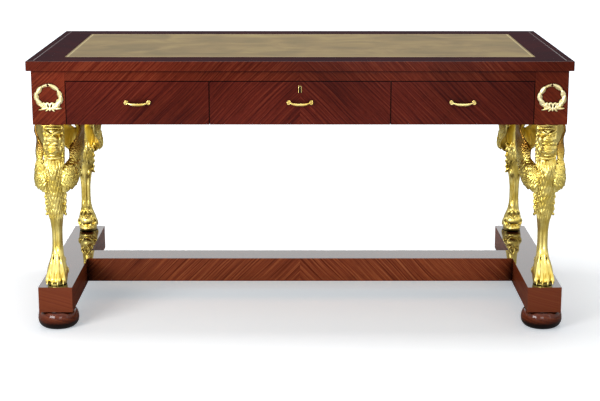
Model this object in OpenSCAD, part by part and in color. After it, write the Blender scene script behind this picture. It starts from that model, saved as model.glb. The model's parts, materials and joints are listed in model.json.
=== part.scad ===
// Flat writing desk: leather top, three frieze drawers, four winged lion legs and an H-shaped base.
// Millimetres, Z up. The front faces -Y, and the origin is on the floor under the middle of the desk.

/* [Top] */
// Width of the top, left to right
top_w = 1600; // [1450:10:1900]
// Depth of the top, front to back
top_d = 800; // [760:10:950]
// Thickness of the top
top_t = 29; // [24:1:40]
// Width of the solid lipping round the top
lipping_w = 22; // [12:1:40]
// Glue line at the mitred corners of the lipping
mitre_gap = 0.2; // [0.1:0.1:0.5]
// Width of the bare border round the leather
border_w = 100; // [60:5:140]
// Thickness of the leather
leather_t = 1.6; // [1:0.1:3]
// Gap between the leather and the rim of its recess
leather_gap = 0.3; // [0.1:0.1:1]

/* [Frieze] */
// How far the top stands over the frieze
overhang = 13; // [13:1:30]
// Height of the frieze
frieze_h = 160; // [150:2:200]
// Side of the square corner blocks
block_s = 98; // [94:1:120]
// Thickness of the side and back panels
panel_t = 22; // [16:1:28]
// Height of the plain rail above the drawers
top_rail_h = 30; // [24:1:34]
// Depth of that rail, front to back
top_rail_d = 48; // [40:1:70]
// Thickness of the bottom rail and of the bearers that the drawers run on
bearer_t = 16; // [12:1:20]
// Width of the ledge that a drawer side runs on
ledge_w = 20; // [15:1:30]
// Thickness of the partitions between the drawers
partition_t = 18; // [14:1:24]
// Distance between the middles of the two partitions
centre_bay_w = 532; // [460:2:600]
// Height of the guide strips beside the outer drawer sides
guide_h = 24; // [12:1:40]
// Width of the guide strips
guide_w = 18; // [12:1:24]
// Width of the false drawer seams cut in the back panel
seam_w = 1.6; // [1:0.1:3]
// Depth of those seams
seam_depth = 2; // [1:0.1:4]

/* [Drawers] */
// Thickness of the drawer fronts
front_t = 22; // [18:1:28]
// Gap round the drawer fronts
front_gap = 1.2; // [0.8:0.1:2]
// Gap between a closed front and the frame behind it
seat_gap = 0.3; // [0.2:0.1:1]
// Length of a drawer box behind its front
box_len = 620; // [450:5:640]
// Height of a drawer box
box_h = 100; // [80:1:104]
// Thickness of the drawer sides and back
box_t = 12; // [9:1:16]
// Running gap beside a drawer box
side_gap = 1; // [0.5:0.1:2]
// Running gap under a drawer box
under_gap = 0.3; // [0.2:0.1:0.6]
// Gap between the drawer sides and the kickers above them
kicker_gap = 1.5; // [1:0.1:3]
// Thickness of the drawer bottoms
bottom_t = 6; // [4:0.5:9]
// Height of the drawer bottom above the lower edge of the sides
bottom_rise = 8; // [6:1:14]
// Depth of the grooves that hold the drawer bottom and back
groove_d = 5; // [3:0.5:6]
// Play of the bottom, the back and the dovetails
groove_gap = 0.2; // [0.1:0.1:0.5]
// Length of the dovetails that hold the drawer sides to the front
tail_len = 14; // [8:1:16]
// Number of dovetails on each side
tails = 3; // [2:1:4]

/* [Handles] */
// Distance between the two posts of a handle
post_pitch = 66; // [56:1:90]
// Diameter of the rosette under a post
rosette_d = 12; // [10:0.5:16]
// Thickness of the rosette
rosette_t = 2.4; // [1.5:0.1:4]
// Distance of the bail's pivot from the drawer front
pivot_out = 12.5; // [11:0.5:14]
// Diameter of the eye at the end of a post
eye_d = 8; // [7:0.1:9]
// Width of the eye along the pivot
eye_w = 6; // [4:0.5:7]
// Diameter of the pivot pins of the bail
pin_d = 3; // [2:0.1:3.5]
// Radial clearance of the pivot pins
pin_play = 0.05; // [0.02:0.01:0.1]
// How far the bail hangs below its pivot, at the middle of its bow
bail_drop = 8; // [6:0.5:16]
// Diameter of the bail at the middle of its bow
bail_mid_d = 7.6; // [4:0.1:8]
// Diameter of the bail at its ends
bail_end_d = 3.6; // [3:0.1:4.5]
// Gap between the end of the bow and the eye
bail_side_gap = 0.6; // [0.3:0.1:1.5]
// Diameter of the threaded shank of a post
shank_d = 5; // [4:0.5:6]
// Clearance round the shanks, studs, dowels and pins in their holes, measured on the radius
hole_play = 0.1; // [0.05:0.05:0.3]
// Width of a nut across its flats
nut_af = 9; // [8:0.5:12]
// Thickness of a nut
nut_t = 4; // [3:0.5:6]
// How far a shank stands past its nut
shank_end = 2; // [1:0.5:4]

/* [Lock] */
// Width of the lock case
lock_w = 56; // [44:1:70]
// Height of the lock case
lock_h = 46; // [46:1:54]
// Depth of the lock case, front to back
lock_d = 12; // [10:0.5:14]
// Clearance round the lock case and the bolt
lock_play = 0.15; // [0.1:0.05:0.3]
// Width of the bolt
bolt_w = 20; // [14:1:30]
// Thickness of the bolt
bolt_t = 5; // [3.5:0.5:6]
// Length of the bolt
bolt_len = 22; // [20:1:26]
// Travel of the bolt
bolt_throw = 9; // [6:0.5:10]
// Width of the keyhole plate
plate_w = 10; // [9:0.5:14]
// Height of the keyhole plate
plate_h = 21; // [18:1:24]
// Width of the keyhole
keyhole_w = 5; // [4:0.5:6]
// Rim of the keyhole plate above and below the keyhole
keyhole_rim = 3; // [2:0.5:4]
// Distance from the top of the drawer front to the keyhole plate
plate_drop = 13; // [10:1:16]
// Thickness of the keyhole plate
plate_t = 3; // [2:0.5:4]
// How far the keyhole plate stands out of the drawer front
plate_proud = 1; // [0.5:0.1:1.5]

/* [Wreaths] */
// Outer diameter of a wreath
wreath_d = 84; // [70:1:88]
// Width of the band of leaves
wreath_band = 17; // [13:1:22]
// Thickness of a wreath
wreath_t = 7; // [5:0.5:9]
// Diameter of the pins on the back of a wreath
wreath_pin_d = 3; // [2:0.5:4]
// Length of those pins
wreath_pin_len = 9; // [6:1:14]

/* [Legs] */
// Height of a leg, from the base to the frieze
leg_h = 496; // [480:2:560]
// Height of the paw with the ankle above it
paw_h = 120; // [110:1:130]
// Distance from the front of the frieze to the axis of a leg
leg_in = 62; // [60:1:72]
// Distance from the axis of a leg to the outside of its wings
wing_spread = 74; // [70:1:78]
// Thickness of the wings
wing_t = 6; // [4:0.5:8]
// Gap between a wing and the leg it is fixed to
wing_gap = 0.6; // [0.2:0.1:1]
// Diameter of the threaded studs in the legs
stud_d = 10; // [8:1:12]
// Depth of a stud in the leg
stud_in_leg = 34; // [25:1:45]
// Depth of a stud in the wood
stud_in_wood = 34; // [25:1:45]

/* [Base] */
// Width of the two long beams of the base
beam_w = 102; // [96:1:116]
// Height of the long beams
beam_h = 78; // [68:1:90]
// How far the ends of the beams stay inside the edge of the top
beam_inset = 7; // [4:1:14]
// Width of the cross beam
cross_w = 104; // [80:1:140]
// Height of the cross beam
cross_h = 76; // [60:1:78]
// Diameter of the dowels in the joints of the base
dowel_d = 16; // [12:1:20]
// Length of those dowels
dowel_len = 90; // [60:2:110]
// Height of the bun feet
foot_h = 57; // [48:1:66]
// Largest diameter of the bun feet
foot_d = 124; // [112:1:130]
// Diameter of the flat underneath a bun foot
foot_flat_d = 74; // [60:1:90]
// Diameter of the neck between a bun foot and its beam
foot_neck_d = 92; // [80:1:95]
// Height of that neck
foot_neck_h = 2.5; // [1:0.5:5]
// Diameter of the dowel that holds a foot
foot_pin_d = 24; // [16:1:30]
// Length of that dowel in the foot and in the beam
foot_pin_in = 28; // [18:1:34]

/* [Hidden] */
$fn = 48;
eps = 0.01;

// Levels, from the floor up
beam_z = foot_h;
leg_z = beam_z + beam_h;
frieze_z = leg_z + leg_h;
top_z = frieze_z + frieze_h;

// Plan of the frieze
frieze_w = top_w - 2 * overhang;
frieze_d = top_d - 2 * overhang;
frieze_front = -frieze_d / 2;
bay_out = frieze_w / 2 - block_s;
bay_in = centre_bay_w / 2;
frame_front = frieze_front + front_t + seat_gap;
back_inside = frieze_d / 2 - panel_t;
block_back = frieze_front + block_s;
bearer_top = frieze_z + bearer_t;

// Drawer fronts and boxes
front_h = frieze_h - top_rail_h - front_gap;
box_z = bearer_top + under_gap;
box_front = frieze_front + front_t;
kicker_z = box_z + box_h + kicker_gap;
// The outer limits of each drawer bay: its frame openings, then the edges of its front
BAYS = [
    [-bay_out, -bay_in - partition_t / 2, -bay_out + front_gap, -bay_in - front_gap / 2],
    [-bay_in + partition_t / 2, bay_in - partition_t / 2, -bay_in + front_gap / 2, bay_in - front_gap / 2],
    [bay_in + partition_t / 2, bay_out, bay_in + front_gap / 2, bay_out - front_gap]
];

// Handles hang at the middle of the drawer fronts
pivot_z = frieze_z + front_h / 2 + bail_drop / 4;
pivot_y = frieze_front - pivot_out;

// Lock
lock_z = frieze_z + front_h - lock_h;
bolt_rest_drop = 0.5;
bolt_z = frieze_z + front_h - bolt_rest_drop - bolt_len;
plate_z = frieze_z + front_h - plate_drop - plate_h;
bolt_y = box_front - lock_d / 2;

// Legs stand on the middle of the beams, under the middle of the corner blocks
leg_x = frieze_w / 2 - block_s / 2;
leg_y = frieze_d / 2 - leg_in;
beam_d = top_d - 2 * beam_inset;
beam_in = leg_x - beam_w / 2;
foot_y = beam_d / 2 - beam_w / 2;
head_stud_y = 10;
paw_stud_y = -14;

// Left is -1 and right is 1; the front is -1 and the back is 1
module at_corner(sx, sy) {
    mirror([sx > 0 ? 1 : 0, 0, 0])
        mirror([0, sy > 0 ? 1 : 0, 0])
            children();
}

module span(lo, hi) {
    translate(lo)
        cube(hi - lo);
}

// A closed skin over rings of points that all have the same even number of points; each end is closed in
// strips from one half of its ring to the other
module loft(rings) {
    n = len(rings[0]);
    m = len(rings);
    end = (m - 1) * n;
    polyhedron(
        points = [for (r = rings) each r],
        faces = [
            for (k = [0:n / 2 - 2]) each [
                [n - 1 - k, k + 1, k],
                [n - 1 - k, n - 2 - k, k + 1],
                [end + k, end + k + 1, end + n - 1 - k],
                [end + k + 1, end + n - 2 - k, end + n - 1 - k]
            ],
            for (j = [0:m - 2], i = [0:n - 1]) each [
                [j * n + i, j * n + (i + 1) % n, (j + 1) * n + i],
                [j * n + (i + 1) % n, (j + 1) * n + (i + 1) % n, (j + 1) * n + i]
            ]
        ]
    );
}

// The top

module top_board() {
    half = [top_w / 2 - lipping_w, top_d / 2 - lipping_w];
    well = [top_w / 2 - border_w, top_d / 2 - border_w];
    color("#3a1513")
        difference() {
            span([-half.x, -half.y, top_z], [half.x, half.y, top_z + top_t]);
            span([-well.x, -well.y, top_z + top_t - leather_t], [well.x, well.y, top_z + top_t + 1]);
        }
}

// Four mitred strips
module top_edge_bands() {
    half = [top_w / 2, top_d / 2];
    inner = [half.x - lipping_w, half.y - lipping_w];
    color("#6b241a")
        translate([0, 0, top_z])
            linear_extrude(top_t)
                for (s = [-1, 1]) {
                    polygon([
                        [-half.x + mitre_gap, s * half.y], [half.x - mitre_gap, s * half.y],
                        [inner.x - mitre_gap, s * inner.y], [-inner.x + mitre_gap, s * inner.y]
                    ]);
                    polygon([
                        [s * half.x, -half.y], [s * half.x, half.y],
                        [s * inner.x, inner.y], [s * inner.x, -inner.y]
                    ]);
                }
}

module leather_inset() {
    half = [top_w / 2 - border_w - leather_gap, top_d / 2 - border_w - leather_gap];
    color("#968a69")
        span([-half.x, -half.y, top_z + top_t - leather_t], [half.x, half.y, top_z + top_t]);
}

// The frieze

// The front left block, with holes for the stud of the leg and the pins of the wreath
module corner_block() {
    color("#73281c")
        difference() {
            translate([-frieze_w / 2, frieze_front, frieze_z])
                cube([block_s, block_s, frieze_h]);
            translate([-leg_x, -leg_y + head_stud_y, frieze_z - 1])
                cylinder(d = stud_d + 2 * hole_play, h = stud_in_wood + 2);
            for (s = [-1, 1])
                translate([-leg_x + s * wreath_pin_x, frieze_front - 1, wreath_z])
                    rotate([-90, 0, 0])
                        cylinder(d = wreath_pin_d + 2 * hole_play, h = wreath_pin_len + 2);
        }
}

module front_top_rail() {
    color("#73281c")
        difference() {
            span([-bay_out, frieze_front, top_z - top_rail_h], [bay_out, frieze_front + top_rail_d, top_z]);
            translate([-bolt_w / 2 - 1, bolt_y - bolt_t / 2 - 1, top_z - top_rail_h - 1])
                cube([bolt_w + 2, bolt_t + 2, bolt_throw + 2]);
        }
}

module front_bottom_rail() {
    color("#8a5a3a")
        span([-bay_out, frame_front, frieze_z], [bay_out, block_back, bearer_top]);
}

// The seams repeat the lines of the front
module back_panel() {
    color("#73281c")
        difference() {
            span([-bay_out, back_inside, frieze_z], [bay_out, frieze_d / 2, top_z]);
            translate([-bay_out - 1, frieze_d / 2 - seam_depth, top_z - top_rail_h - seam_w / 2])
                cube([2 * bay_out + 2, seam_depth + 1, seam_w]);
            for (s = [-1, 1])
                translate([s * bay_in - seam_w / 2, frieze_d / 2 - seam_depth, frieze_z - 1])
                    cube([seam_w, seam_depth + 1, frieze_h - top_rail_h + 1]);
        }
}

module side_panel() {
    color("#73281c")
        span([-frieze_w / 2, block_back, frieze_z], [-frieze_w / 2 + panel_t, -block_back, top_z]);
}

// Stands on the rail and the bearer, and is notched round the top rail
module drawer_partition() {
    notch = frieze_front + top_rail_d;
    color("#9c6b45")
        translate([-bay_in + partition_t / 2, 0, 0])
            rotate([90, 0, -90])
                linear_extrude(partition_t)
                    polygon([
                        [-frame_front, bearer_top], [-back_inside, bearer_top],
                        [-back_inside, top_z], [-notch, top_z],
                        [-notch, top_z - top_rail_h], [-frame_front, top_z - top_rail_h]
                    ]);
}

// Four boards from front to back: two beside the corner blocks and two under the partitions
module drawer_bearers() {
    color("#8a5a3a")
        for (s = [0, 1])
            mirror([s, 0, 0]) {
                span([-frieze_w / 2 + panel_t, block_back, frieze_z], [-bay_out + ledge_w, -block_back, bearer_top]);
                span(
                    [-bay_in - partition_t / 2 - ledge_w, block_back, frieze_z],
                    [-bay_in + partition_t / 2 + ledge_w, back_inside, bearer_top]
                );
            }
}

// Strips that keep the outer sides of the outer drawers straight
module drawer_guides() {
    color("#9c6b45")
        for (s = [0, 1])
            mirror([s, 0, 0])
                span([-bay_out - guide_w, block_back, bearer_top], [-bay_out, -block_back, bearer_top + guide_h]);
}

// Strips over the drawer sides that keep an open drawer level
module drawer_kickers() {
    color("#9c6b45")
        for (bay = BAYS, s = [0, 1])
            span(
                [s == 0 ? bay[0] : bay[1] - ledge_w, frieze_front + top_rail_d, kicker_z],
                [s == 0 ? bay[0] + ledge_w : bay[1], back_inside, top_z]
            );
}

// The drawers; i is 0 for the left, 1 for the centre and 2 for the right

// The tails of both drawer sides, which reach forwards into the front
module dovetails(i, play) {
    bay = BAYS[i];
    pitch = box_h / tails;
    root = pitch / 4 + play;
    tip = pitch / 3 + play;
    for (x = [bay[0] + side_gap, bay[1] - side_gap - box_t], k = [0:tails - 1])
        translate([x - play, box_front, box_z + (k + 0.5) * pitch])
            rotate([90, 0, 90])
                linear_extrude(box_t + 2 * play)
                    polygon([[1, -root], [1, root], [0, root], [-tail_len - play, tip], [-tail_len - play, -tip], [0, -root]]);
}

module drawer_front(i) {
    bay = BAYS[i];
    middle = (bay[2] + bay[3]) / 2;
    groove = side_gap + box_t - groove_d;
    color("#5c1f19")
        difference() {
            span([bay[2], frieze_front, frieze_z], [bay[3], box_front, frieze_z + front_h]);
            for (s = [-1, 1])
                translate([middle + s * post_pitch / 2, frieze_front - 1, pivot_z])
                    rotate([-90, 0, 0])
                        cylinder(d = shank_d + 2 * hole_play, h = front_t + 2);
            dovetails(i, groove_gap);
            translate([bay[0] + groove, box_front - groove_d, box_z + bottom_rise])
                cube([bay[1] - bay[0] - 2 * groove, groove_d + 1, bottom_t + groove_gap]);
            if (i == 1) {
                translate([-lock_w / 2 - lock_play, box_front - lock_d - lock_play, lock_z - lock_play])
                    cube([lock_w + 2 * lock_play, lock_d + lock_play + 1, lock_h + lock_play + 1]);
                translate([0, box_front, plate_z])
                    keyhole_shape(plate_w + 2 * lock_play, plate_h + lock_play, front_t + 1);
            }
        }
}

// Two sides that are grooved for the bottom and the back, and a back that stands on the bottom
module drawer_box(i) {
    bay = BAYS[i];
    left = bay[0] + side_gap;
    right = bay[1] - side_gap;
    groove_x = [left + box_t - groove_d, right - box_t + groove_d];
    floor_z = box_z + bottom_rise;
    back_y = box_front + box_len - 2 * box_t;
    color("#b98a5c")
        difference() {
            union() {
                span([left, box_front, box_z], [left + box_t, box_front + box_len, box_z + box_h]);
                span([right - box_t, box_front, box_z], [right, box_front + box_len, box_z + box_h]);
                dovetails(i, 0);
            }
            translate([groove_x[0], box_front - tail_len - 1, floor_z])
                cube([groove_x[1] - groove_x[0], box_len + tail_len + 2, bottom_t + groove_gap]);
            translate([groove_x[0], back_y - groove_gap, floor_z])
                cube([groove_x[1] - groove_x[0], box_t + 2 * groove_gap, box_h]);
        }
    color("#b98a5c")
        span(
            [groove_x[0] + groove_gap, back_y, floor_z + bottom_t + groove_gap],
            [groove_x[1] - groove_gap, back_y + box_t, box_z + box_h]
        );
}

module drawer_bottom(i) {
    bay = BAYS[i];
    inset = side_gap + box_t - groove_d + groove_gap;
    floor_z = box_z + bottom_rise;
    color("#c9a071")
        span(
            [bay[0] + inset, box_front - groove_d + groove_gap, floor_z],
            [bay[1] - inset, box_front + box_len, floor_z + bottom_t]
        );
}

// Places its children at the two posts of drawer i, with the drawer's face at y = 0 and outwards along -Y
module at_posts(i) {
    bay = BAYS[i];
    for (s = [-1, 1])
        translate([(bay[2] + bay[3]) / 2 + s * post_pitch / 2, frieze_front, pivot_z])
            children();
}

// A rosette and a waisted neck, with an eye for the pin of the bail, on a threaded shank
module handle_posts(i) {
    neck_d = 0.6 * eye_d;
    color("#d9b44a")
        at_posts(i)
            difference() {
                union() {
                    rotate([90, 0, 0])
                        cylinder(d = rosette_d, h = rosette_t);
                    rotate([90, 0, 0])
                        cylinder(d = neck_d, h = pivot_out);
                    translate([-eye_w / 2, -pivot_out, 0])
                        rotate([0, 90, 0])
                            cylinder(d = eye_d, h = eye_w);
                    rotate([-90, 0, 0])
                        cylinder(d = shank_d, h = front_t + nut_t + shank_end);
                }
                translate([-eye_w / 2 - 1, -pivot_out, 0])
                    rotate([0, 90, 0])
                        cylinder(d = pin_d + 2 * pin_play, h = eye_w + 2);
            }
}

module handle_nuts(i) {
    color("#b08d3c")
        at_posts(i)
            translate([0, front_t, 0])
                rotate([-90, 0, 0])
                    difference() {
                        cylinder(d = nut_af / cos(30), h = nut_t, $fn = 6);
                        translate([0, 0, -1])
                            cylinder(d = shank_d + 2 * hole_play, h = nut_t + 2);
                    }
}

// The bow follows a flat curve from one eye to the other, and swells at its middle
module handle_bail(i) {
    bay = BAYS[i];
    end_x = post_pitch / 2 - eye_w / 2 - bail_side_gap;
    steps = 16;
    corners = 10;
    bow_x = end_x - bail_end_d / 2;
    bow = function(t)
        let(u = 2 * t - 1, side = sin(90 * u))
        [(t == 0 || t == 1 ? end_x : bow_x) * side, -bail_drop * (1 - pow(abs(side), 3))];
    rings = [
        for (k = [0:steps])
            let(
                t = k / steps,
                here = bow(t),
                ahead = bow(min(1, t + eps)) - bow(max(0, t - eps)),
                aim = k == 0 || k == steps ? 0 : atan2(ahead.y, ahead.x),
                r = bail_end_d / 2 + (bail_mid_d - bail_end_d) / 2 * pow(sin(180 * t), 2)
            )
            [
                for (j = [0:corners - 1])
                    let(a = 360 * j / corners)
                    [here.x - r * cos(a) * sin(aim), r * sin(a), here.y + r * cos(a) * cos(aim)]
            ]
    ];
    color("#e3bd50")
        translate([(bay[2] + bay[3]) / 2, pivot_y, pivot_z]) {
            loft(rings);
            for (s = [0, 1])
                mirror([s, 0, 0])
                    translate([end_x - 1, 0, 0])
                        rotate([0, 90, 0])
                            cylinder(d = pin_d, h = 1 + bail_side_gap + eye_w);
        }
}

// The lock

// An upright slot with a round top, from y = 0 forwards
module keyhole_shape(w, h, depth) {
    rotate([90, 0, 0])
        linear_extrude(depth) {
            translate([-w / 2, 0])
                square([w, h - w / 2]);
            translate([0, h - w / 2])
                circle(d = w);
        }
}

module lock_case() {
    slot = bolt_len + bolt_rest_drop;
    color("#b99a4b")
        difference() {
            translate([-lock_w / 2, box_front - lock_d, lock_z])
                cube([lock_w, lock_d, lock_h]);
            translate([-bolt_w / 2 - lock_play, bolt_y - bolt_t / 2 - lock_play, lock_z + lock_h - slot])
                cube([bolt_w + 2 * lock_play, bolt_t + 2 * lock_play, slot + 1]);
            translate([0, bolt_y, plate_z])
                keyhole_shape(keyhole_w, plate_h - keyhole_rim, lock_d);
        }
}

module lock_bolt() {
    color("#a9884a")
        translate([-bolt_w / 2, bolt_y - bolt_t / 2, bolt_z])
            cube([bolt_w, bolt_t, bolt_len]);
}

// A lining let into the drawer front
module keyhole_plate() {
    color("#e3bd50")
        translate([0, frieze_front - plate_proud + plate_t, plate_z])
            difference() {
                keyhole_shape(plate_w, plate_h, plate_t);
                translate([0, 1, keyhole_rim])
                    keyhole_shape(keyhole_w, plate_h - 2 * keyhole_rim, plate_t + 2);
            }
}

// The wreaths

wreath_z = frieze_z + frieze_h / 2;
wreath_r = (wreath_d - wreath_band) / 2;
wreath_pin_x = wreath_r;

// A pointed leaf that lies along +X, with a ridge
module laurel_leaf(l, w, t) {
    hull() {
        linear_extrude(t / 3)
            polygon([[0, -w / 5], [l * 0.35, -w / 2], [l, 0], [l * 0.35, w / 2], [0, w / 5]]);
        translate([l * 0.15, -w / 12, 0])
            cube([l * 0.5, w / 6, t]);
    }
}

// The front left wreath, with its back on the block and its relief towards -Y
module wreath() {
    leaves = 5;
    lift = 1.2;
    lean = 18;
    spread = 16;
    color("#ead98c")
        translate([-leg_x, frieze_front, wreath_z])
            rotate([90, 0, 0]) {
                rotate_extrude($fn = 20)
                    translate([wreath_r - wreath_band / 5, 0])
                        square([wreath_band / 2.5, wreath_t / 2]);
                for (s = [0, 1])
                    mirror([s, 0, 0])
                        for (k = [0:leaves - 1])
                            rotate([0, 0, -66 + k * 136 / (leaves - 1)])
                                translate([wreath_r, 0, 0])
                                    for (side = [-1, 1])
                                        translate([side * wreath_band * 0.16, 0, side > 0 ? lift : 0])
                                            rotate([0, 0, 90 + lean - side * spread])
                                                laurel_leaf(wreath_band * 1.4, wreath_band * 0.66, wreath_t - lift);
                for (s = [0, 1])
                    mirror([s, 0, 0]) {
                        translate([1, -wreath_r - 1, 0])
                            rotate([0, 0, 24])
                                laurel_leaf(wreath_band * 1.1, wreath_band * 0.75, wreath_t);
                        translate([2, -wreath_r - 2, 0])
                            rotate([0, 0, -8])
                                laurel_leaf(wreath_band * 1.25, wreath_band * 0.4, wreath_t * 0.6);
                    }
                translate([0, -wreath_r, 0])
                    cylinder(d = wreath_band * 0.5, h = wreath_t, $fn = 16);
                for (s = [-1, 1])
                    translate([s * wreath_pin_x, 0, -wreath_pin_len])
                        cylinder(d = wreath_pin_d, h = wreath_pin_len + 1, $fn = 16);
            }
}

// The legs. A leg's own frame has z = 0 at its top and y = 0 on its axis; it faces -Y.

// [depth below the top, middle, half width, half depth]; the foot hangs from the height of the leg
LEG_PROFILE = [
    [0, 12, 31, 32], [8, 12, 31, 32], [12, 10, 27, 29], [30, 8, 28, 30], [60, 6, 29, 31],
    [95, 6, 29, 30], [112, 6, 28, 29], [135, 3, 28.5, 32], [165, 2, 26.5, 32], [200, 3, 25, 29],
    [230, 4, 24.5, 27], [265, 4, 23, 24], [285, 4, 21, 23], [300, 2, 21, 24], [318, 5, 18, 19.5],
    [335, 7, 16.4, 17.5], [leg_h - paw_h, 7, 16.2, 17], [leg_h - 0.82 * paw_h, 4, 18.5, 18.5],
    [leg_h - 0.62 * paw_h, -3, 20.5, 24], [leg_h - 0.42 * paw_h, -11, 26.5, 32],
    [leg_h - 0.23 * paw_h, -16, 32.5, 37], [leg_h - 0.08 * paw_h, -18, 31, 38], [leg_h, -18, 28, 35]
];
profile_of = function(d, column) lookup(d, [for (p = LEG_PROFILE) [p[0], p[column]]]);

// Swellings and hollows of the face: [depth, x, spread down, spread across, amount forwards]
FACE = [
    [24, 12, 7, 9, 7], [24, -12, 7, 9, 7], [39, 15, 6, 6, -6], [39, -15, 6, 6, -6],
    [48, 0, 16, 9, 14], [64, 0, 11, 12, 14], [71, 8, 9, 8, 8], [71, -8, 9, 8, 8],
    [81, 0, 3, 15, -6], [93, 0, 9, 11, 13], [107, 0, 6, 20, -6], [140, 0, 22, 16, 6]
];
bell = function(x, spread) exp(-pow(x / spread, 2));
face_out = function(x, d) [for (f = FACE) f[4] * bell(d - f[0], f[2]) * bell(x - f[1], f[3])]
    * [for (f = FACE) 1];

leg_point = function(d, a)
    let(
        x = profile_of(d, 2) * sin(a),
        y = profile_of(d, 1) - profile_of(d, 3) * cos(a)
    )
    [x, y - (cos(a) > 0 ? cos(a) * face_out(x, d) : 0), -d];

// How far the side of the leg is from its axis at depth d and at y
leg_side = function(d, y) profile_of(d, 2) * sqrt(1 - pow((y - profile_of(d, 1)) / profile_of(d, 3), 2));

LEG_STEPS = concat(
    [0, 8, 12], [for (d = [20:9:119]) d], [for (d = [134:18:278]) d], [290, 300, 309, 318, 335],
    [for (k = [1, 0.82, 0.62, 0.52, 0.42, 0.32, 0.23, 0.08, 0]) leg_h - k * paw_h]
);

// A lock of the mane or a toe: a tapering bar between two points
module lock_of_hair(from, to, r_from, r_to) {
    hull() {
        translate(from)
            sphere(r = r_from, $fn = 6);
        translate(to)
            sphere(r = r_to, $fn = 6);
    }
}

// An ear and the uppermost lock of the mane, each from its root to its tip, and the step to the next lock
EAR = [[24, 2, -14], [27, 4, -28]];
EAR_R = [5, 6];
MANE = [[26, -6, -34], [30, -4, -56]];
MANE_R = [6, 4.5];
MANE_STEP = [0, 3, -22];
// A toe from its root to its tip: [pitch, y, height above the base]; outer toes stand back by the stagger
TOE = [[14, -46, 26], [15, -53, 9]];
TOE_R = [10, 9];
toe_stagger = 6;
toe_at = function(k, end) [k * end.x, end.y + toe_stagger * abs(k), end.z - leg_h];

// The hair at the back of the thigh, as a flat fringe with pointed ends
FRINGE = [
    [0, -196], [22, -196], [26, -206], [25, -218], [29, -228], [27, -240], [29.5, -252], [27, -262],
    [28, -278], [20, -268], [12, -282], [0, -270]
];
fringe_t = 8;
fringe_y = 24;

module lion_leg() {
    corners = 20;
    difference() {
        union() {
            loft([for (d = LEG_STEPS) [for (j = [0:corners - 1]) leg_point(d, 360 * j / corners)]]);
            // Ears and the locks of the mane round the face
            for (s = [0, 1])
                mirror([s, 0, 0]) {
                    lock_of_hair(EAR[0], EAR[1], EAR_R[0], EAR_R[1]);
                    for (k = [0:3])
                        lock_of_hair(MANE[0] + k * MANE_STEP, MANE[1] + k * MANE_STEP, MANE_R[0], MANE_R[1]);
                }
            for (k = [-1.5:1:1.5])
                lock_of_hair(toe_at(k, TOE[0]), toe_at(k, TOE[1]), TOE_R[0], TOE_R[1]);
            translate([0, fringe_y, 0])
                rotate([90, 0, 0])
                    linear_extrude(fringe_t)
                        for (s = [0, 1])
                            mirror([s, 0, 0])
                                polygon(FRINGE);
        }
        translate([0, head_stud_y, -stud_in_leg - 1])
            cylinder(d = stud_d + 2 * hole_play, h = stud_in_leg + 2, $fn = 16);
        translate([0, paw_stud_y, -leg_h - 1])
            cylinder(d = stud_d + 2 * hole_play, h = stud_in_leg + 2, $fn = 16);
        // The paw stands on a flat sole
        translate([-beam_w / 2, -beam_w, -leg_h - paw_h])
            cube([beam_w, 2 * beam_w, paw_h]);
    }
}

module place_leg() {
    translate([-leg_x, -leg_y, frieze_z])
        children();
}

module leg() {
    color("#d8b345")
        place_leg()
            lion_leg();
}

// The wings. [depth below the top, front y, front reach, rear y, rear reach], reaches from the leg's axis;
// a reach of 0 means that the wing starts at the leg's side, and reaches are given for the drawn spread.
WING = [
    [0, 92, 44, 212, 44], [14, 90, 57, 213, 57], [28, 85, 66, 214, 65], [44, 80, 67, 215, 66],
    [65, 73, 58, 215, 66], [82, 61, 46, 214, 67], [94, 50, 39, 213, 67], [108, 41, 42, 209, 68],
    [120, 34, 42, 196, 69], [129, 22, 36, 180, 70], [137, -2, 0, 162, 70], [150, -12, 0, 130, 71],
    [165, -16, 0, 98, 70], [180, -17, 0, 64, 68], [195, -16, 0, 36, 60], [206, -14, 0, 16, 46],
    [214, -12, 0, 4, 34]
];
wing_reach_drawn = 74;

// The skin of a wing bows out from its front edge to its rear edge
wing_section = function(w)
    let(
        grow = wing_spread - wing_reach_drawn,
        root = leg_side(w[0], w[1] + wing_t / 2) + wing_gap,
        front = [w[2] == 0 ? root : w[2] + grow, w[1]],
        rear = [w[4] + grow, w[3]],
        out = [max(front.x, rear.x) + (w[2] == 0 ? 8 : 3), front.y + (w[2] == 0 ? 4 : 12)],
        steps = 8,
        line = [for (k = [0:steps]) let(t = k / steps) (1 - t) * (1 - t) * front + 2 * t * (1 - t) * out + t * t * rear],
        across = [
            for (k = [0:steps])
                let(v = line[min(steps, k + 1)] - line[max(0, k - 1)])
                [v.y, -v.x] / norm(v) * wing_t / 2
        ]
    )
    [
        for (k = [0:steps]) [line[k].x + across[k].x, line[k].y + across[k].y, -w[0]],
        for (k = [steps:-1:0]) [line[k].x - across[k].x, line[k].y - across[k].y, -w[0]]
    ];

module wings() {
    color("#c9a23f")
        place_leg()
            for (s = [0, 1])
                mirror([s, 0, 0])
                    loft([for (w = WING) wing_section(w)]);
}

module leg_studs() {
    color("#8d8d8d")
        for (sx = [-1, 1], sy = [-1, 1])
            at_corner(sx, sy) {
                translate([-leg_x, -leg_y + head_stud_y, frieze_z - stud_in_leg])
                    cylinder(d = stud_d, h = stud_in_leg + stud_in_wood);
                translate([-leg_x, -leg_y + paw_stud_y, leg_z - stud_in_wood])
                    cylinder(d = stud_d, h = stud_in_leg + stud_in_wood);
            }
}

// The base

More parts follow.
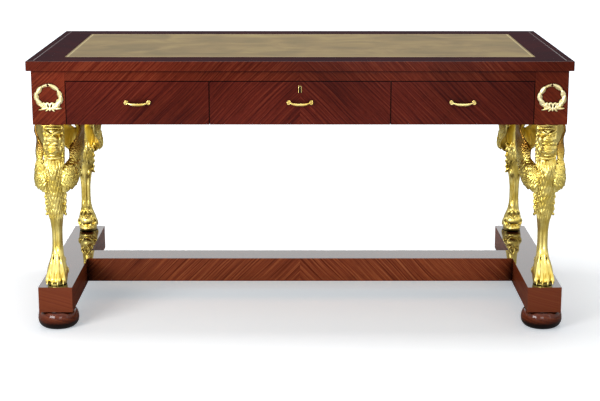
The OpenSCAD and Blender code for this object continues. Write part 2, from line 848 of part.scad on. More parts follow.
// The left beam
module base_beam() {
    color("#6b241a")
        difference() {
            span([-leg_x - beam_w / 2, -beam_d / 2, beam_z], [-beam_in, beam_d / 2, beam_z + beam_h]);
            for (s = [-1, 1]) {
                translate([-beam_in - dowel_len / 2 - 1, s * cross_w / 4, cross_dowel_z])
                    rotate([0, 90, 0])
                        cylinder(d = dowel_d + 2 * hole_play, h = dowel_len / 2 + 2);
                translate([-leg_x, s * foot_y, beam_z - 1])
                    cylinder(d = foot_pin_d + 2 * hole_play, h = foot_pin_in + 2);
                translate([-leg_x, s * (leg_y - paw_stud_y), leg_z - stud_in_wood - 1])
                    cylinder(d = stud_d + 2 * hole_play, h = stud_in_wood + 2);
            }
        }
}

cross_z = leg_z - cross_h;
cross_dowel_z = cross_z + cross_h / 2;

module base_cross_beam() {
    color("#6b241a")
        difference() {
            span([-beam_in, -cross_w / 2, cross_z], [beam_in, cross_w / 2, leg_z]);
            for (sx = [-1, 1], sy = [-1, 1])
                translate([sx * (beam_in - dowel_len / 4), sy * cross_w / 4, cross_dowel_z])
                    rotate([0, 90, 0])
                        cylinder(d = dowel_d + 2 * hole_play, h = dowel_len / 2 + 2, center = true);
        }
}

module cross_beam_dowels() {
    color("#c9a071")
        for (sx = [-1, 1], sy = [-1, 1])
            translate([sx * beam_in, sy * cross_w / 4, cross_dowel_z])
                rotate([0, 90, 0])
                    cylinder(d = dowel_d, h = dowel_len, center = true);
}

// A flattened ball on a flat, with a short neck
module bun_foot(sx, sy) {
    body_h = foot_h - foot_neck_h;
    belly = foot_d / 2;
    steps = 16;
    shoulder = foot_neck_d / 2 + foot_neck_h;
    color("#5c1f19")
        translate([sx * leg_x, sy * foot_y, 0])
            difference() {
                rotate_extrude()
                    polygon([
                        [0, 0],
                        for (k = [0:steps])
                            let(a = -90 + 180 * k / steps, rim = a < 0 ? foot_flat_d / 2 : shoulder)
                            [rim + (belly - rim) * cos(a), body_h / 2 * (1 + sin(a))],
                        [foot_neck_d / 2, body_h], [foot_neck_d / 2, foot_h], [0, foot_h]
                    ]);
                translate([0, 0, foot_h - foot_pin_in])
                    cylinder(d = foot_pin_d + 2 * hole_play, h = foot_pin_in + 1);
            }
}

module foot_dowels() {
    color("#c9a071")
        for (sx = [-1, 1], sy = [-1, 1])
            translate([sx * leg_x, sy * foot_y, foot_h - foot_pin_in])
                cylinder(d = foot_pin_d, h = 2 * foot_pin_in);
}

top_board();
top_edge_bands();
leather_inset();
corner_block();  // corner_block_fl
at_corner(1, -1) corner_block();  // corner_block_fr
at_corner(-1, 1) corner_block();  // corner_block_bl
at_corner(1, 1) corner_block();  // corner_block_br
front_top_rail();
front_bottom_rail();
back_panel();
side_panel();  // side_panel_left
at_corner(1, -1) side_panel();  // side_panel_right
drawer_partition();  // drawer_partition_left
at_corner(1, -1) drawer_partition();  // drawer_partition_right
drawer_bearers();
drawer_guides();
drawer_kickers();
drawer_front(0);  // drawer_front_left
drawer_front(1);  // drawer_front_centre
drawer_front(2);  // drawer_front_right
drawer_box(0);  // drawer_box_left
drawer_box(1);  // drawer_box_centre
drawer_box(2);  // drawer_box_right
drawer_bottom(0);  // drawer_bottom_left
drawer_bottom(1);  // drawer_bottom_centre
drawer_bottom(2);  // drawer_bottom_right
handle_posts(0);  // handle_posts_left
handle_posts(1);  // handle_posts_centre
handle_posts(2);  // handle_posts_right
handle_nuts(0);  // handle_nuts_left
handle_nuts(1);  // handle_nuts_centre
handle_nuts(2);  // handle_nuts_right
handle_bail(0);  // handle_bail_left
handle_bail(1);  // handle_bail_centre
handle_bail(2);  // handle_bail_right
lock_case();
lock_bolt();
keyhole_plate();
wreath();  // wreath_fl
at_corner(1, -1) wreath();  // wreath_fr
at_corner(-1, 1) wreath();  // wreath_bl
at_corner(1, 1) wreath();  // wreath_br
leg();  // leg_fl
at_corner(1, -1) leg();  // leg_fr
at_corner(-1, 1) leg();  // leg_bl
at_corner(1, 1) leg();  // leg_br
wings();  // wings_fl
at_corner(1, -1) wings();  // wings_fr
at_corner(-1, 1) wings();  // wings_bl
at_corner(1, 1) wings();  // wings_br
leg_studs();
base_beam();  // base_beam_left
at_corner(1, -1) base_beam();  // base_beam_right
base_cross_beam();
cross_beam_dowels();
bun_foot(-1, -1);  // bun_foot_fl
bun_foot(1, -1);  // bun_foot_fr
bun_foot(-1, 1);  // bun_foot_bl
bun_foot(1, 1);  // bun_foot_br
foot_dowels();
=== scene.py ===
# %% [markdown]
# # A flat writing desk with gilt lion legs
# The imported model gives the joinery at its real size: boards, drawers, beams and simplified carvings.
# This lesson dresses it. Flat boards keep their shape and get eased edges and a finish. Whatever a carver,
# a chaser or a turner would shape is modelled anew over the simple solid.

# %% Load the frame
import json
import math
import bpy
import numpy as np
from mathutils import Matrix, Vector


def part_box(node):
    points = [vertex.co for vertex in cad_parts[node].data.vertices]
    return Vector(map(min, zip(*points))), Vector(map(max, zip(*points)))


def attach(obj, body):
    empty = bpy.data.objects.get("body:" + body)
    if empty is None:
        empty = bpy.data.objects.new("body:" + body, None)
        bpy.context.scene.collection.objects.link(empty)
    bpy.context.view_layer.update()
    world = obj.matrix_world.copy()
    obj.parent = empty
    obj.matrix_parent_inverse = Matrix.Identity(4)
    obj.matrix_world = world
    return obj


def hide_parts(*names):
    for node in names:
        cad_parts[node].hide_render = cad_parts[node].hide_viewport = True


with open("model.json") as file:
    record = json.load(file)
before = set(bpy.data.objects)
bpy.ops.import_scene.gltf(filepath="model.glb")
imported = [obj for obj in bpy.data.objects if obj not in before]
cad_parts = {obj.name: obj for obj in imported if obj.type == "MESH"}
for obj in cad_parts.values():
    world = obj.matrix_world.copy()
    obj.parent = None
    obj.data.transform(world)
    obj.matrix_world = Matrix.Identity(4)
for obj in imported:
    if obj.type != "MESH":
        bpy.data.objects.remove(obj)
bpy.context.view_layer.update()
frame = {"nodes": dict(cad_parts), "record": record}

MM = 0.001
TOP_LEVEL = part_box("top_board")[1][2]
FRIEZE_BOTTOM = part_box("corner_block_fl")[0][2]
FRIEZE_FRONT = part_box("corner_block_fl")[0][1]
BASE_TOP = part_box("base_beam_left")[1][2]
LEG_HEIGHT = (FRIEZE_BOTTOM - BASE_TOP) / MM
print("leg height in mm", round(LEG_HEIGHT, 1))

# %% [markdown]
# ## The camera
# The photographer stood about 4.8 m from the middle of the desk, held the camera 0.58 m above the top and
# aimed it a little down. From there the back of the top looks narrower than the front, and both front legs
# show their inner sides. A moderate telephoto lens keeps the uprights nearly upright.

# %% Camera
CAMERA_DISTANCE = 4.782
CAMERA_OVER_TOP = 0.5752
CAMERA_TILT = 12.73
LENS = 90.8
bpy.ops.object.select_all(action="DESELECT")
bpy.ops.object.camera_add(location=(0, -CAMERA_DISTANCE, TOP_LEVEL + CAMERA_OVER_TOP))
camera = bpy.context.object
camera.rotation_euler = (math.radians(90 - CAMERA_TILT), 0, 0)
camera.data.lens = LENS
camera.data.sensor_width = 36
camera.data.clip_end = 200
bpy.context.scene.camera = camera
print("camera height", round(camera.location.z, 3))


# %% [markdown]
# ## Helpers for finishes
# Each finish is built from nodes. One helper adds a node with its inputs and links, one turns a colour as
# a paint chart writes it into the linear colour that the renderer needs, and one lays a darker or lighter
# pattern over a colour, as a stain or a glaze does.

# %% Material helpers
def linear(code):
    """The linear colour of an sRGB hex value."""
    parts = [int(code[i:i + 2], 16) / 255 for i in (1, 3, 5)]
    return [c / 12.92 if c <= 0.04045 else ((c + 0.055) / 1.055) ** 2.4 for c in parts] + [1.0]


def add(nodes, kind, inputs=None, **settings):
    """Adds a node and returns its output. An input takes a number, a colour or another node's output."""
    made = nodes.nodes.new(kind)
    for name, value in settings.items():
        setattr(made, name, value)
    for key, value in (inputs or {}).items():
        if isinstance(value, bpy.types.NodeSocket):
            nodes.links.new(value, made.inputs[key])
        else:
            made.inputs[key].default_value = value
    return made.outputs[2] if kind == "ShaderNodeMix" else made.outputs[0]


def ramp(nodes, factor, stops):
    """A colour ramp from [(position, hex colour or grey level), ...]."""
    colour = add(nodes, "ShaderNodeValToRGB", {"Fac": factor})
    band = colour.node.color_ramp.elements
    while len(band) < len(stops):
        band.new(0.5)
    for element, (position, tone) in zip(band, stops):
        element.position = position
        element.color = linear(tone) if isinstance(tone, str) else (tone, tone, tone, 1)
    return colour


def overlay(nodes, colour, pattern, amount, blend="MULTIPLY"):
    """Lays a pattern over a colour."""
    return add(nodes, "ShaderNodeMix", {0: amount, 6: colour, 7: pattern}, data_type="RGBA", blend_type=blend)


def sheltered(nodes, reach):
    """How open a place is to its surroundings within a reach: 0 in a deep hollow, 1 on a free surface."""
    return add(nodes, "ShaderNodeAmbientOcclusion", {"Distance": reach}, samples=8).node.outputs["AO"]


def math_node(nodes, operation, *values):
    """One step of arithmetic on the surface's coordinates."""
    return add(nodes, "ShaderNodeMath", dict(enumerate(values)), operation=operation)


def new_material(name, **shader_values):
    """A material with its node tree, its shader and the object coordinates of the surface."""
    material = bpy.data.materials.new(name)
    material.use_nodes = True
    nodes = material.node_tree
    shader = nodes.nodes["Principled BSDF"]
    for key, value in shader_values.items():
        shader.inputs[key.replace("_", " ")].default_value = value
    return material, nodes, shader, add(nodes, "ShaderNodeTexCoord").node.outputs["Object"]


print("linear value of mid grey", round(linear("#808080")[0], 3))

# %% [markdown]
# ## Ribbon-stripe mahogany
# Quarter-sawn mahogany has interlocked grain, which shows as ribbons from 6 mm to a finger's width, light
# and dark by turns, with short fine pores along them. The veneer is laid at 45 degrees, and the two halves
# of the front lean towards the middle, so the stripes meet there as a row of arrow heads. Measuring across
# the stripes by the distance from the middle plus the height gives that pattern on every upright face.
# French polish adds a clear, hard coat that mirrors what is near.

# %% Mahogany
RIBBON_WIDTH = 6 * MM
RIBBON_LENGTH = 420 * MM
# Real pores are 0.2 mm wide; they are drawn at 1.8 mm so that they show at all
PORE_WIDTH = 1.8 * MM
PORE_LENGTH = 30 * MM
# The grain bends over this length and strays this far from a straight line; in a plain board it also slants
BEND_LENGTH = 250 * MM
GRAIN_WANDER = 30 * MM
BOARD_SLANT = 0.3
# Lighter and darker clouds in the veneer
CLOUD_SIZE = 312.5 * MM
# How deep into a corner the wood is darkened with painted shade
NOOK_REACH = 120 * MM
# Weight and roughness of the clear coat: upright faces are rubbed down to a satin, level tops keep a full
# gloss. Level tops are also painted darker: painted shade against the strong light from above
SATIN = (0.3, 0.15)
GLOSS = (1.0, 0.03)
TOP_SHADE_TONE = "#8A7070"
TOP_SHADE_SHARE = 0.75
# Tone of the painted shade in corners and near other parts
NOOK_SHADE_TONE = "#281C18"
# Tone of the painted shade along the seams between the drawer fronts
SEAM_SHADE_TONE = "#4A302A"


def stripes(nodes, across, along, width, length, detail, layer):
    """Noise that is drawn out along the grain."""
    point = add(nodes, "ShaderNodeCombineXYZ", {
        "X": math_node(nodes, "MULTIPLY", across, 1 / width),
        "Y": math_node(nodes, "MULTIPLY", along, 1 / length),
        "Z": layer,
    })
    return add(nodes, "ShaderNodeTexNoise", {"Vector": point, "Scale": 1.0, "Detail": detail})


def mahogany(name, tones, pattern="chevron", depth=1.0, sides=SATIN, seams=()):
    """Polished mahogany: chevron veneer about a middle line, or boards with plain grain along Y."""
    material, nodes, shader, place = new_material(name, Roughness=0.5, Specular_IOR_Level=0.0)
    split = add(nodes, "ShaderNodeSeparateXYZ", {0: place}).node
    x, y, z = split.outputs
    if pattern == "chevron":
        from_middle = math_node(nodes, "ABSOLUTE", x)
        rise = math_node(nodes, "SUBTRACT", z, y)
        across = math_node(nodes, "ADD", from_middle, rise)
        along = math_node(nodes, "SUBTRACT", from_middle, rise)
    else:
        across = math_node(nodes, "MULTIPLY_ADD", x, BOARD_SLANT, z)
        along = y
    side = math_node(nodes, "GREATER_THAN", x, 0.0)
    wobble = add(nodes, "ShaderNodeTexNoise", {"Vector": place, "Scale": 1 / BEND_LENGTH, "Detail": 1.0})
    bent = math_node(nodes, "MULTIPLY_ADD", wobble, GRAIN_WANDER, across)
    ribbons = stripes(nodes, bent, along, RIBBON_WIDTH, RIBBON_LENGTH, 2.0, side)
    streaks = stripes(nodes, bent, along, RIBBON_WIDTH / 4, RIBBON_LENGTH / 3, 3.0, side)
    pores = stripes(nodes, across, along, PORE_WIDTH, PORE_LENGTH, 2.0, side)
    clouds = add(nodes, "ShaderNodeTexNoise", {"Vector": place, "Scale": 1 / CLOUD_SIZE, "Detail": 2.0})
    colour = ramp(nodes, ribbons, list(zip((0.30, 0.46, 0.60, 0.74), tones)))
    for figure, dark, low, high, share in ((streaks, "#6A5450", 0.34, 0.54, 0.5),
                                           (clouds, "#7E706E", 0.30, 0.62, 0.5),
                                           (pores, "#806E6C", 0.36, 0.46, 0.4)):
        colour = overlay(nodes, colour, ramp(nodes, figure, [(low, dark), (high, "#FFFFFF")]), share * depth)
    facing = add(nodes, "ShaderNodeSeparateXYZ", {0: place.node.outputs["Normal"]}).node
    on_top = math_node(nodes, "GREATER_THAN", facing.outputs[2], 0.8)
    # Painted shade: level tops are made darker, against the strong light that falls on them from above
    colour = overlay(nodes, colour, linear(TOP_SHADE_TONE), math_node(nodes, "MULTIPLY", on_top, TOP_SHADE_SHARE))
    # Painted shade: the wood darkens in corners and near other parts, where less light reaches it
    painted_nook_shade = ramp(nodes, sheltered(nodes, NOOK_REACH), [(0.48, NOOK_SHADE_TONE), (0.80, "#FFFFFF")])
    colour = overlay(nodes, painted_nook_shade, colour, 1.0)
    # Painted shade in the seams between the drawer fronts
    for axis, at, reach in seams:
        distance = math_node(nodes, "ABSOLUTE", split.outputs[axis])
        colour = overlay(nodes, colour, linear(SEAM_SHADE_TONE), math_node(nodes, "COMPARE", distance, at, reach))
    nodes.links.new(colour, shader.inputs["Base Color"])
    for socket, satin, gloss in zip(("Coat Weight", "Coat Roughness"), sides, GLOSS):
        if satin == gloss:
            shader.inputs[socket].default_value = gloss
        else:
            coat = add(nodes, "ShaderNodeMapRange", {"Value": on_top, "To Min": satin, "To Max": gloss})
            nodes.links.new(coat, shader.inputs[socket])
    bump = add(nodes, "ShaderNodeBump", {"Height": pores, "Strength": 0.06, "Distance": 0.2 * MM})
    nodes.links.new(bump, shader.inputs["Normal"])
    return material


VENEER = mahogany("ribbon_stripe_mahogany_veneer", ["#50180B", "#632214", "#702D1A", "#7D3821"])
CORNER_VENEER = mahogany("ribbon_stripe_veneer_of_the_corners", ["#5C1E10", "#702818", "#7F341D", "#8D4126"])
# Painted shade along the seams at the ends and the top of the side drawers: axis, distance from the middle,
# half width
(SEAM_IN, _, _), (SEAM_OUT, _, SEAM_TOP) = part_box("drawer_front_right")
DRAWER_VENEER = mahogany("dark_ribbon_stripe_drawer_veneer", ["#40110D", "#561B13", "#652417", "#722F1F"],
                         seams=((0, SEAM_IN, 1.6 * MM), (0, SEAM_OUT, 1.4 * MM), (2, SEAM_TOP, 1.5 * MM)))
CROSS_VENEER = mahogany("chevron_veneer_of_the_cross_beam", ["#5A2310", "#78361E", "#904929", "#A15B37"],
                        depth=0.6)
BOARD = mahogany("plain_polished_mahogany", ["#692E1A", "#6D321C", "#72371E", "#773B20"],
                 pattern="plain", depth=0.25)
FOOT_POLISH = mahogany("french_polished_turned_mahogany", ["#5C220E", "#682A11", "#743315", "#803C1B"],
                       pattern="plain", depth=0.25, sides=(0.6, 0.03))
TOP_VENEER = mahogany("dark_mahogany_border_of_the_top", ["#410E0A", "#601A0D", "#762211", "#892D14"],
                      sides=GLOSS)
print("mahogany finishes", len([m for m in bpy.data.materials if "mahogany" in m.name or "veneer" in m.name]))

# %% [markdown]
# ## Gilding
# The legs, wings and wreaths are cast, chased and mercury gilt, then burnished. Burnished gold is a deep
# warm yellow where it mirrors something pale and a brown where it mirrors itself, so hollows between the
# feathers and locks look brown. Brown painted into the hollows adds to that as painted shade and painted
# reflection, and the net of small scales is browner towards the top. Fine chasing lines follow the hair down
# the thigh and the mane. The wreaths are left paler and duller, and the inner sides of the wings have a satin
# finish.

# %% Gold and brass
HAIR_WIDTH = 2.2 * MM
HAIR_LENGTH = 30 * MM
HOLLOW_REACH = 9 * MM
# Patches of the gilding are about 36 mm wide, bumps of the cast skin about 3 mm
PATCH_SIZE = 250 / 7 * MM
CAST_BUMP_SIZE = 10 / 3 * MM
CAST_BUMP_STRENGTH = 0.10
# The net of small scales on the wings is browner from this level up, which sets in over the fade's height
BROWNER_FROM = FRIEZE_BOTTOM - 126 * MM
BROWNER_FADE = 40 * MM
UPPER_BROWN = "#8E643E"
# Burnishing leaves the gold smoother in some patches than in others: shares of its roughness
SMOOTHEST, DULLEST = 0.75, 1.35


def gilding(name, bright, worn, hollow, roughness, chased=0.0, browner_above=0.0):
    """Burnished gold with brown painted into its hollows as painted shade. Chased gold has hair lines down
    it, and gold may be browner above a given level.
    """
    material, nodes, shader, place = new_material(name, Metallic=1.0)
    split = add(nodes, "ShaderNodeSeparateXYZ", {0: place}).node
    patches = add(nodes, "ShaderNodeTexNoise", {"Vector": place, "Scale": 1 / PATCH_SIZE, "Detail": 3.0})
    colour = ramp(nodes, patches, [(0.35, worn), (0.62, bright)])
    # Painted shade and painted reflection: brown in the hollows, where the gold would mirror itself
    painted_hollow_shade = ramp(nodes, sheltered(nodes, HOLLOW_REACH), [(0.22, hollow), (0.72, "#FFFFFF")])
    colour = overlay(nodes, painted_hollow_shade, colour, 1.0)
    if browner_above:
        high = add(nodes, "ShaderNodeMapRange", {"Value": split.outputs[2], "From Min": BROWNER_FROM,
                                                 "From Max": BROWNER_FROM + BROWNER_FADE, "To Max": browner_above})
        colour = overlay(nodes, colour, linear(UPPER_BROWN), high)
    nodes.links.new(colour, shader.inputs["Base Color"])
    rough = add(nodes, "ShaderNodeMapRange", {"Value": patches, "To Min": roughness * SMOOTHEST,
                                              "To Max": roughness * DULLEST})
    nodes.links.new(rough, shader.inputs["Roughness"])
    if chased:
        across = math_node(nodes, "ADD", split.outputs[0], split.outputs[1])
        height = stripes(nodes, across, split.outputs[2], HAIR_WIDTH, HAIR_LENGTH, 2.0, 0.0)
    else:
        height = add(nodes, "ShaderNodeTexNoise", {"Vector": place, "Scale": 1 / CAST_BUMP_SIZE,
                                                   "Detail": 2.0})
    bump = add(nodes, "ShaderNodeBump", {"Height": height, "Strength": chased or CAST_BUMP_STRENGTH,
                                         "Distance": 0.6 * MM})
    nodes.links.new(bump, shader.inputs["Normal"])
    return material


GILT = gilding("burnished_mercury_gilding", "#F3DF7C", "#E0C45A", "#6E5012", 0.20)
WING_GILT = gilding("burnished_gilding_browner_near_the_top", "#F3DF7C", "#DCBE56", "#4E340C", 0.24, browner_above=0.85)
CHASED_GILT = gilding("chased_mercury_gilding", "#F7E388", "#E2C65C", "#5E4410", 0.30, chased=0.3)
PALE_GILT = gilding("pale_water_gilding_of_the_wreaths", "#FFF4C4", "#F6E4A0", "#A88840", 0.42)
BRASS = gilding("lacquered_cast_brass", "#F8E49A", "#E4C468", "#6A4A18", 0.24)
SATIN_GILT = gilding("satin_gilding_inside_the_wings", "#FBEC98", "#F0DC7C", "#B8943A", 0.45)
print("gold finishes", len([m for m in bpy.data.materials if "gilding" in m.name or "brass" in m.name]))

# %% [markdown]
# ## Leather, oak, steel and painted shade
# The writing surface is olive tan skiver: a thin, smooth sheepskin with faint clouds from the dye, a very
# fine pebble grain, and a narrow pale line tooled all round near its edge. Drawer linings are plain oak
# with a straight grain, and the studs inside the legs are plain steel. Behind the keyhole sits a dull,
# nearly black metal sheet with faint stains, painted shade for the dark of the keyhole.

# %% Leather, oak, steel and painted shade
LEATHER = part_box("leather_inset")
TOOLED_LINE_IN = 7 * MM
TOOLED_LINE_WIDTH = 4 * MM
TOOLED_LINE = "#A99A6C"
# A real pebble is under 1 mm across; it is drawn at 2.5 mm so that it shows. Clouds of the dye are about
# 170 mm wide
PEBBLE = 2.5 * MM
DYE_CLOUD = 500 / 3 * MM


def leather():
    """Dyed skiver with a tooled line that follows the edge."""
    material, nodes, shader, place = new_material("olive_tan_skiver_leather", Roughness=0.5,
                                                  Specular_IOR_Level=0.15)
    split = add(nodes, "ShaderNodeSeparateXYZ", {0: place}).node
    clouds = add(nodes, "ShaderNodeTexNoise", {"Vector": place, "Scale": 1 / DYE_CLOUD, "Detail": 4.0,
                                               "Distortion": 1.2})
    colour = ramp(nodes, clouds, [(0.30, "#5E4E20"), (0.50, "#705C2E"), (0.72, "#82703D")])
    streak = stripes(nodes, split.outputs[1], split.outputs[0], 40 * MM, 300 * MM, 3.0, 3.0)
    colour = overlay(nodes, colour, ramp(nodes, streak, [(0.35, "#D8D2C4"), (0.60, "#FFFFFF")]), 0.6)
    from_edge = math_node(
        nodes, "MINIMUM",
        math_node(nodes, "SUBTRACT", LEATHER[1][0], math_node(nodes, "ABSOLUTE", split.outputs[0])),
        math_node(nodes, "SUBTRACT", LEATHER[1][1], math_node(nodes, "ABSOLUTE", split.outputs[1])))
    off_line = math_node(nodes, "ABSOLUTE", math_node(nodes, "SUBTRACT", from_edge, TOOLED_LINE_IN))
    on_line = math_node(nodes, "LESS_THAN", off_line, TOOLED_LINE_WIDTH / 2)
    colour = overlay(nodes, colour, linear(TOOLED_LINE), on_line, "MIX")
    nodes.links.new(colour, shader.inputs["Base Color"])
    pebble = add(nodes, "ShaderNodeTexVoronoi", {"Vector": place, "Scale": 1 / PEBBLE})
    pressed = math_node(nodes, "SUBTRACT", pebble, on_line)
    bump = add(nodes, "ShaderNodeBump", {"Height": pressed, "Strength": 0.12, "Distance": 0.3 * MM})
    nodes.links.new(bump, shader.inputs["Normal"])
    return material


def oak():
    """Planed oak with the grain running from front to back."""
    material, nodes, shader, place = new_material("planed_oak_lining", Roughness=0.6)
    split = add(nodes, "ShaderNodeSeparateXYZ", {0: place}).node
    across = math_node(nodes, "ADD", split.outputs[0], split.outputs[2])
    grain = stripes(nodes, across, split.outputs[1], 6 * MM, 260 * MM, 4.0, 0.0)
    colour = ramp(nodes, grain, [(0.32, "#8F6840"), (0.50, "#B08A5C"), (0.70, "#C7A374")])
    nodes.links.new(colour, shader.inputs["Base Color"])
    bump = add(nodes, "ShaderNodeBump", {"Height": grain, "Strength": 0.15, "Distance": 0.3 * MM})
    nodes.links.new(bump, shader.inputs["Normal"])
    return material


def steel():
    """Drawn steel rod with fine lines along it."""
    material, nodes, shader, place = new_material("drawn_steel_rod", Metallic=1.0, Roughness=0.35)
    split = add(nodes, "ShaderNodeSeparateXYZ", {0: place}).node
    lines = stripes(nodes, split.outputs[0], split.outputs[2], 1 * MM, 80 * MM, 2.0, 0.0)
    nodes.links.new(ramp(nodes, lines, [(0.35, "#7C7D80"), (0.65, "#A3A4A7")]), shader.inputs["Base Color"])
    return material


# Stains on the black sheet are about 8 mm wide
STAIN_SIZE = 25 / 3 * MM


def painted_keyhole_shade():
    """A dull, nearly black metal sheet with faint stains: painted shade for the dark of a keyhole."""
    material, nodes, shader, place = new_material("black_sheet_of_painted_keyhole_shade", Metallic=1.0, Roughness=0.55)
    stains = add(nodes, "ShaderNodeTexNoise", {"Vector": place, "Scale": 1 / STAIN_SIZE, "Detail": 2.0})
    nodes.links.new(ramp(nodes, stains, [(0.35, "#161210"), (0.65, "#2A2421")]), shader.inputs["Base Color"])
    return material


SKIVER = leather()
OAK = oak()
STEEL = steel()
KEYHOLE_SHADE = painted_keyhole_shade()
print("other finishes", SKIVER.name, OAK.name, STEEL.name, KEYHOLE_SHADE.name)

# %% [markdown]
# ## A finish for every solid
# The solids that stay visible take a finish by what they are made of. Their meshes aren't touched.

# %% Dress the solids
SLOT_OF = {part["node"]: part["material_slot"] for part in frame["record"]["subparts"]}
FINISH_OF_SLOT = {"mahogany": VENEER, "plain_oak": OAK, "leather": SKIVER, "gilt_bronze": GILT,
                  "polished_brass": BRASS, "steel": STEEL}
FINISH_OF_KIND = {"drawer_front": DRAWER_VENEER, "corner_block": CORNER_VENEER, "base_beam": BOARD,
                  "bun_foot": FOOT_POLISH, "top_board": TOP_VENEER, "base_cross_beam": CROSS_VENEER}


def finish_of(node):
    """The finish of a node, by how its name starts, or else by its material slot."""
    by_name = (finish for start, finish in FINISH_OF_KIND.items() if node.startswith(start))
    return next(by_name, FINISH_OF_SLOT[SLOT_OF[node]])


for name, solid in frame["nodes"].items():
    solid.data.materials.clear()
    solid.data.materials.append(finish_of(name))
print("dressed", len(frame["nodes"]), "solids")


# %% [markdown]
# ## Helpers for shapes
# A primitive is added, shaped and finished with modifiers. Each finished piece rides on the body that
# carries it, stands for its solid, and keeps its place in its mesh.

# %% Shape helpers
SAME_PLACE = 0.01 * MM


def alone(obj):
    """Makes one object the only selected one."""
    bpy.ops.object.select_all(action="DESELECT")
    obj.select_set(True)
    bpy.context.view_layer.objects.active = obj
    return obj


def apply_modifier(obj, kind, **settings):
    """Adds a modifier, sets it and applies it."""
    alone(obj)
    bpy.ops.object.modifier_add(type=kind)
    modifier = obj.modifiers[-1]
    for name, value in settings.items():
        setattr(modifier, name, value)
    bpy.ops.object.modifier_apply(modifier=modifier.name)


def shade_smooth(degrees):
    """Shades the selected piece smooth, but for edges that turn by more than an angle."""
    bpy.ops.object.shade_smooth_by_angle(angle=math.radians(degrees))


def merge_doubles():
    """Merges what lies in one place, all over the mesh that is in edit mode."""
    bpy.ops.mesh.select_all(action="SELECT")
    bpy.ops.mesh.remove_doubles(threshold=SAME_PLACE)


def tidy(obj):
    """Puts the place into the mesh, merges doubles and turns the faces outwards."""
    alone(obj)
    bpy.ops.object.transform_apply(location=True, rotation=True, scale=True)
    bpy.ops.object.mode_set(mode="EDIT")
    merge_doubles()
    bpy.ops.mesh.normals_make_consistent(inside=False)
    bpy.ops.object.mode_set(mode="OBJECT")
    return obj


def join(pieces, name):
    """Joins pieces into one object."""
    bpy.ops.object.select_all(action="DESELECT")
    for piece in pieces:
        piece.select_set(True)
    bpy.context.view_layer.objects.active = pieces[0]
    if len(pieces) > 1:
        bpy.ops.object.join()
    joined = bpy.context.object
    joined.name = name
    return joined


BEHAVIOUR = frame["record"]["behaviour"]
BODY_OF = {node: body for body, nodes in BEHAVIOUR["bodies"].items() for node in nodes}


def mount(obj, node):
    """Lets a finished piece ride on the body of the node that it stands for, and hides that node."""
    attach(alone(obj), BODY_OF[node])
    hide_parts(node)


def dress(obj, node, material):
    """Gives a finished piece one finish all over and mounts it."""
    obj.data.materials.clear()
    obj.data.materials.append(material)
    mount(obj, node)


def copy_of(obj, name):
    """A copy with its own mesh."""
    copy = obj.copy()
    copy.data = obj.data.copy()
    copy.name = name
    bpy.context.collection.objects.link(copy)
    return copy


def mirrored(obj, name, flip_x, flip_y, about_x=0.0):
    """A mirrored copy, about the middle of the desk or another place in X."""
    copy = copy_of(obj, name)
    flip = Matrix.Diagonal((-1 if flip_x else 1, -1 if flip_y else 1, 1, 1))
    copy.data.transform(Matrix.Translation((about_x, 0, 0)) @ flip @ Matrix.Translation((-about_x, 0, 0)))
    if flip_x != flip_y:
        copy.data.flip_normals()
    return copy


# Whether a corner's piece is flipped in X and in Y
CORNERS = {"fl": (False, False), "fr": (True, False), "bl": (False, True), "br": (True, True)}


def in_every_corner(piece, kind, node, material):
    """Dresses the piece of the front left corner and its mirrored copies in the other three."""
    placed = []
    for corner, (flip_x, flip_y) in CORNERS.items():
        placed.append(piece if corner == "fl" else mirrored(piece, f"{kind}_{corner}", flip_x, flip_y))
        dress(placed[-1], f"{node}_{corner}", material)
    return placed


# %% [markdown]
# ## Eased edges
# A polisher never leaves an arris knife-sharp. The boards that show are copied from their solids, their
# triangles are merged back into flat faces, and a narrow bevel eases each edge, so that it catches a thin
# line of light.

# %% Ease the boards
EASED = {"top_edge_bands": 1.5, "front_top_rail": 0.5, "base_beam_left": 1.2, "base_beam_right": 1.2,
         "base_cross_beam": 1.0}
EASED.update({f"corner_block_{corner}": 0.8 for corner in CORNERS})
EASED.update({f"drawer_front_{side}": 0.7 for side in ("left", "centre", "right")})


def eased(node, width):
    """A copy of a board with a narrow bevel on its edges."""
    piece = copy_of(frame["nodes"][node], node + "_eased")
    # The copy starts free of any body
    piece.parent = None
    alone(piece)
    bpy.ops.object.mode_set(mode="EDIT")
    merge_doubles()
    bpy.ops.mesh.dissolve_limited(angle_limit=math.radians(1))
    bpy.ops.object.mode_set(mode="OBJECT")
    apply_modifier(piece, "BEVEL", width=width * MM, segments=2, limit_method="ANGLE",
                   angle_limit=math.radians(50), use_clamp_overlap=True)
    bpy.ops.object.shade_flat()
    dress(piece, node, finish_of(node))


for node, width in EASED.items():
    eased(node, width)
print("eased", len(EASED), "boards")

# %% [markdown]
# ## The lion legs: body
# Each leg is one bronze casting, modelled in clay first: a capped lion's head, a maned neck, a shaggy thigh,
# a lean shank with its tendons, and a broad paw. Boxes and bevels can't give such a shape, so it is made
# the way a modeller works. A tube follows the silhouettes that the photograph shows, with swellings and
# hollows pressed into it. Lumps for muzzle, chin, cheeks and pads and rolls for brows, locks, toes and claws
# are laid on it. Everything is then merged into one skin and smoothed a little.

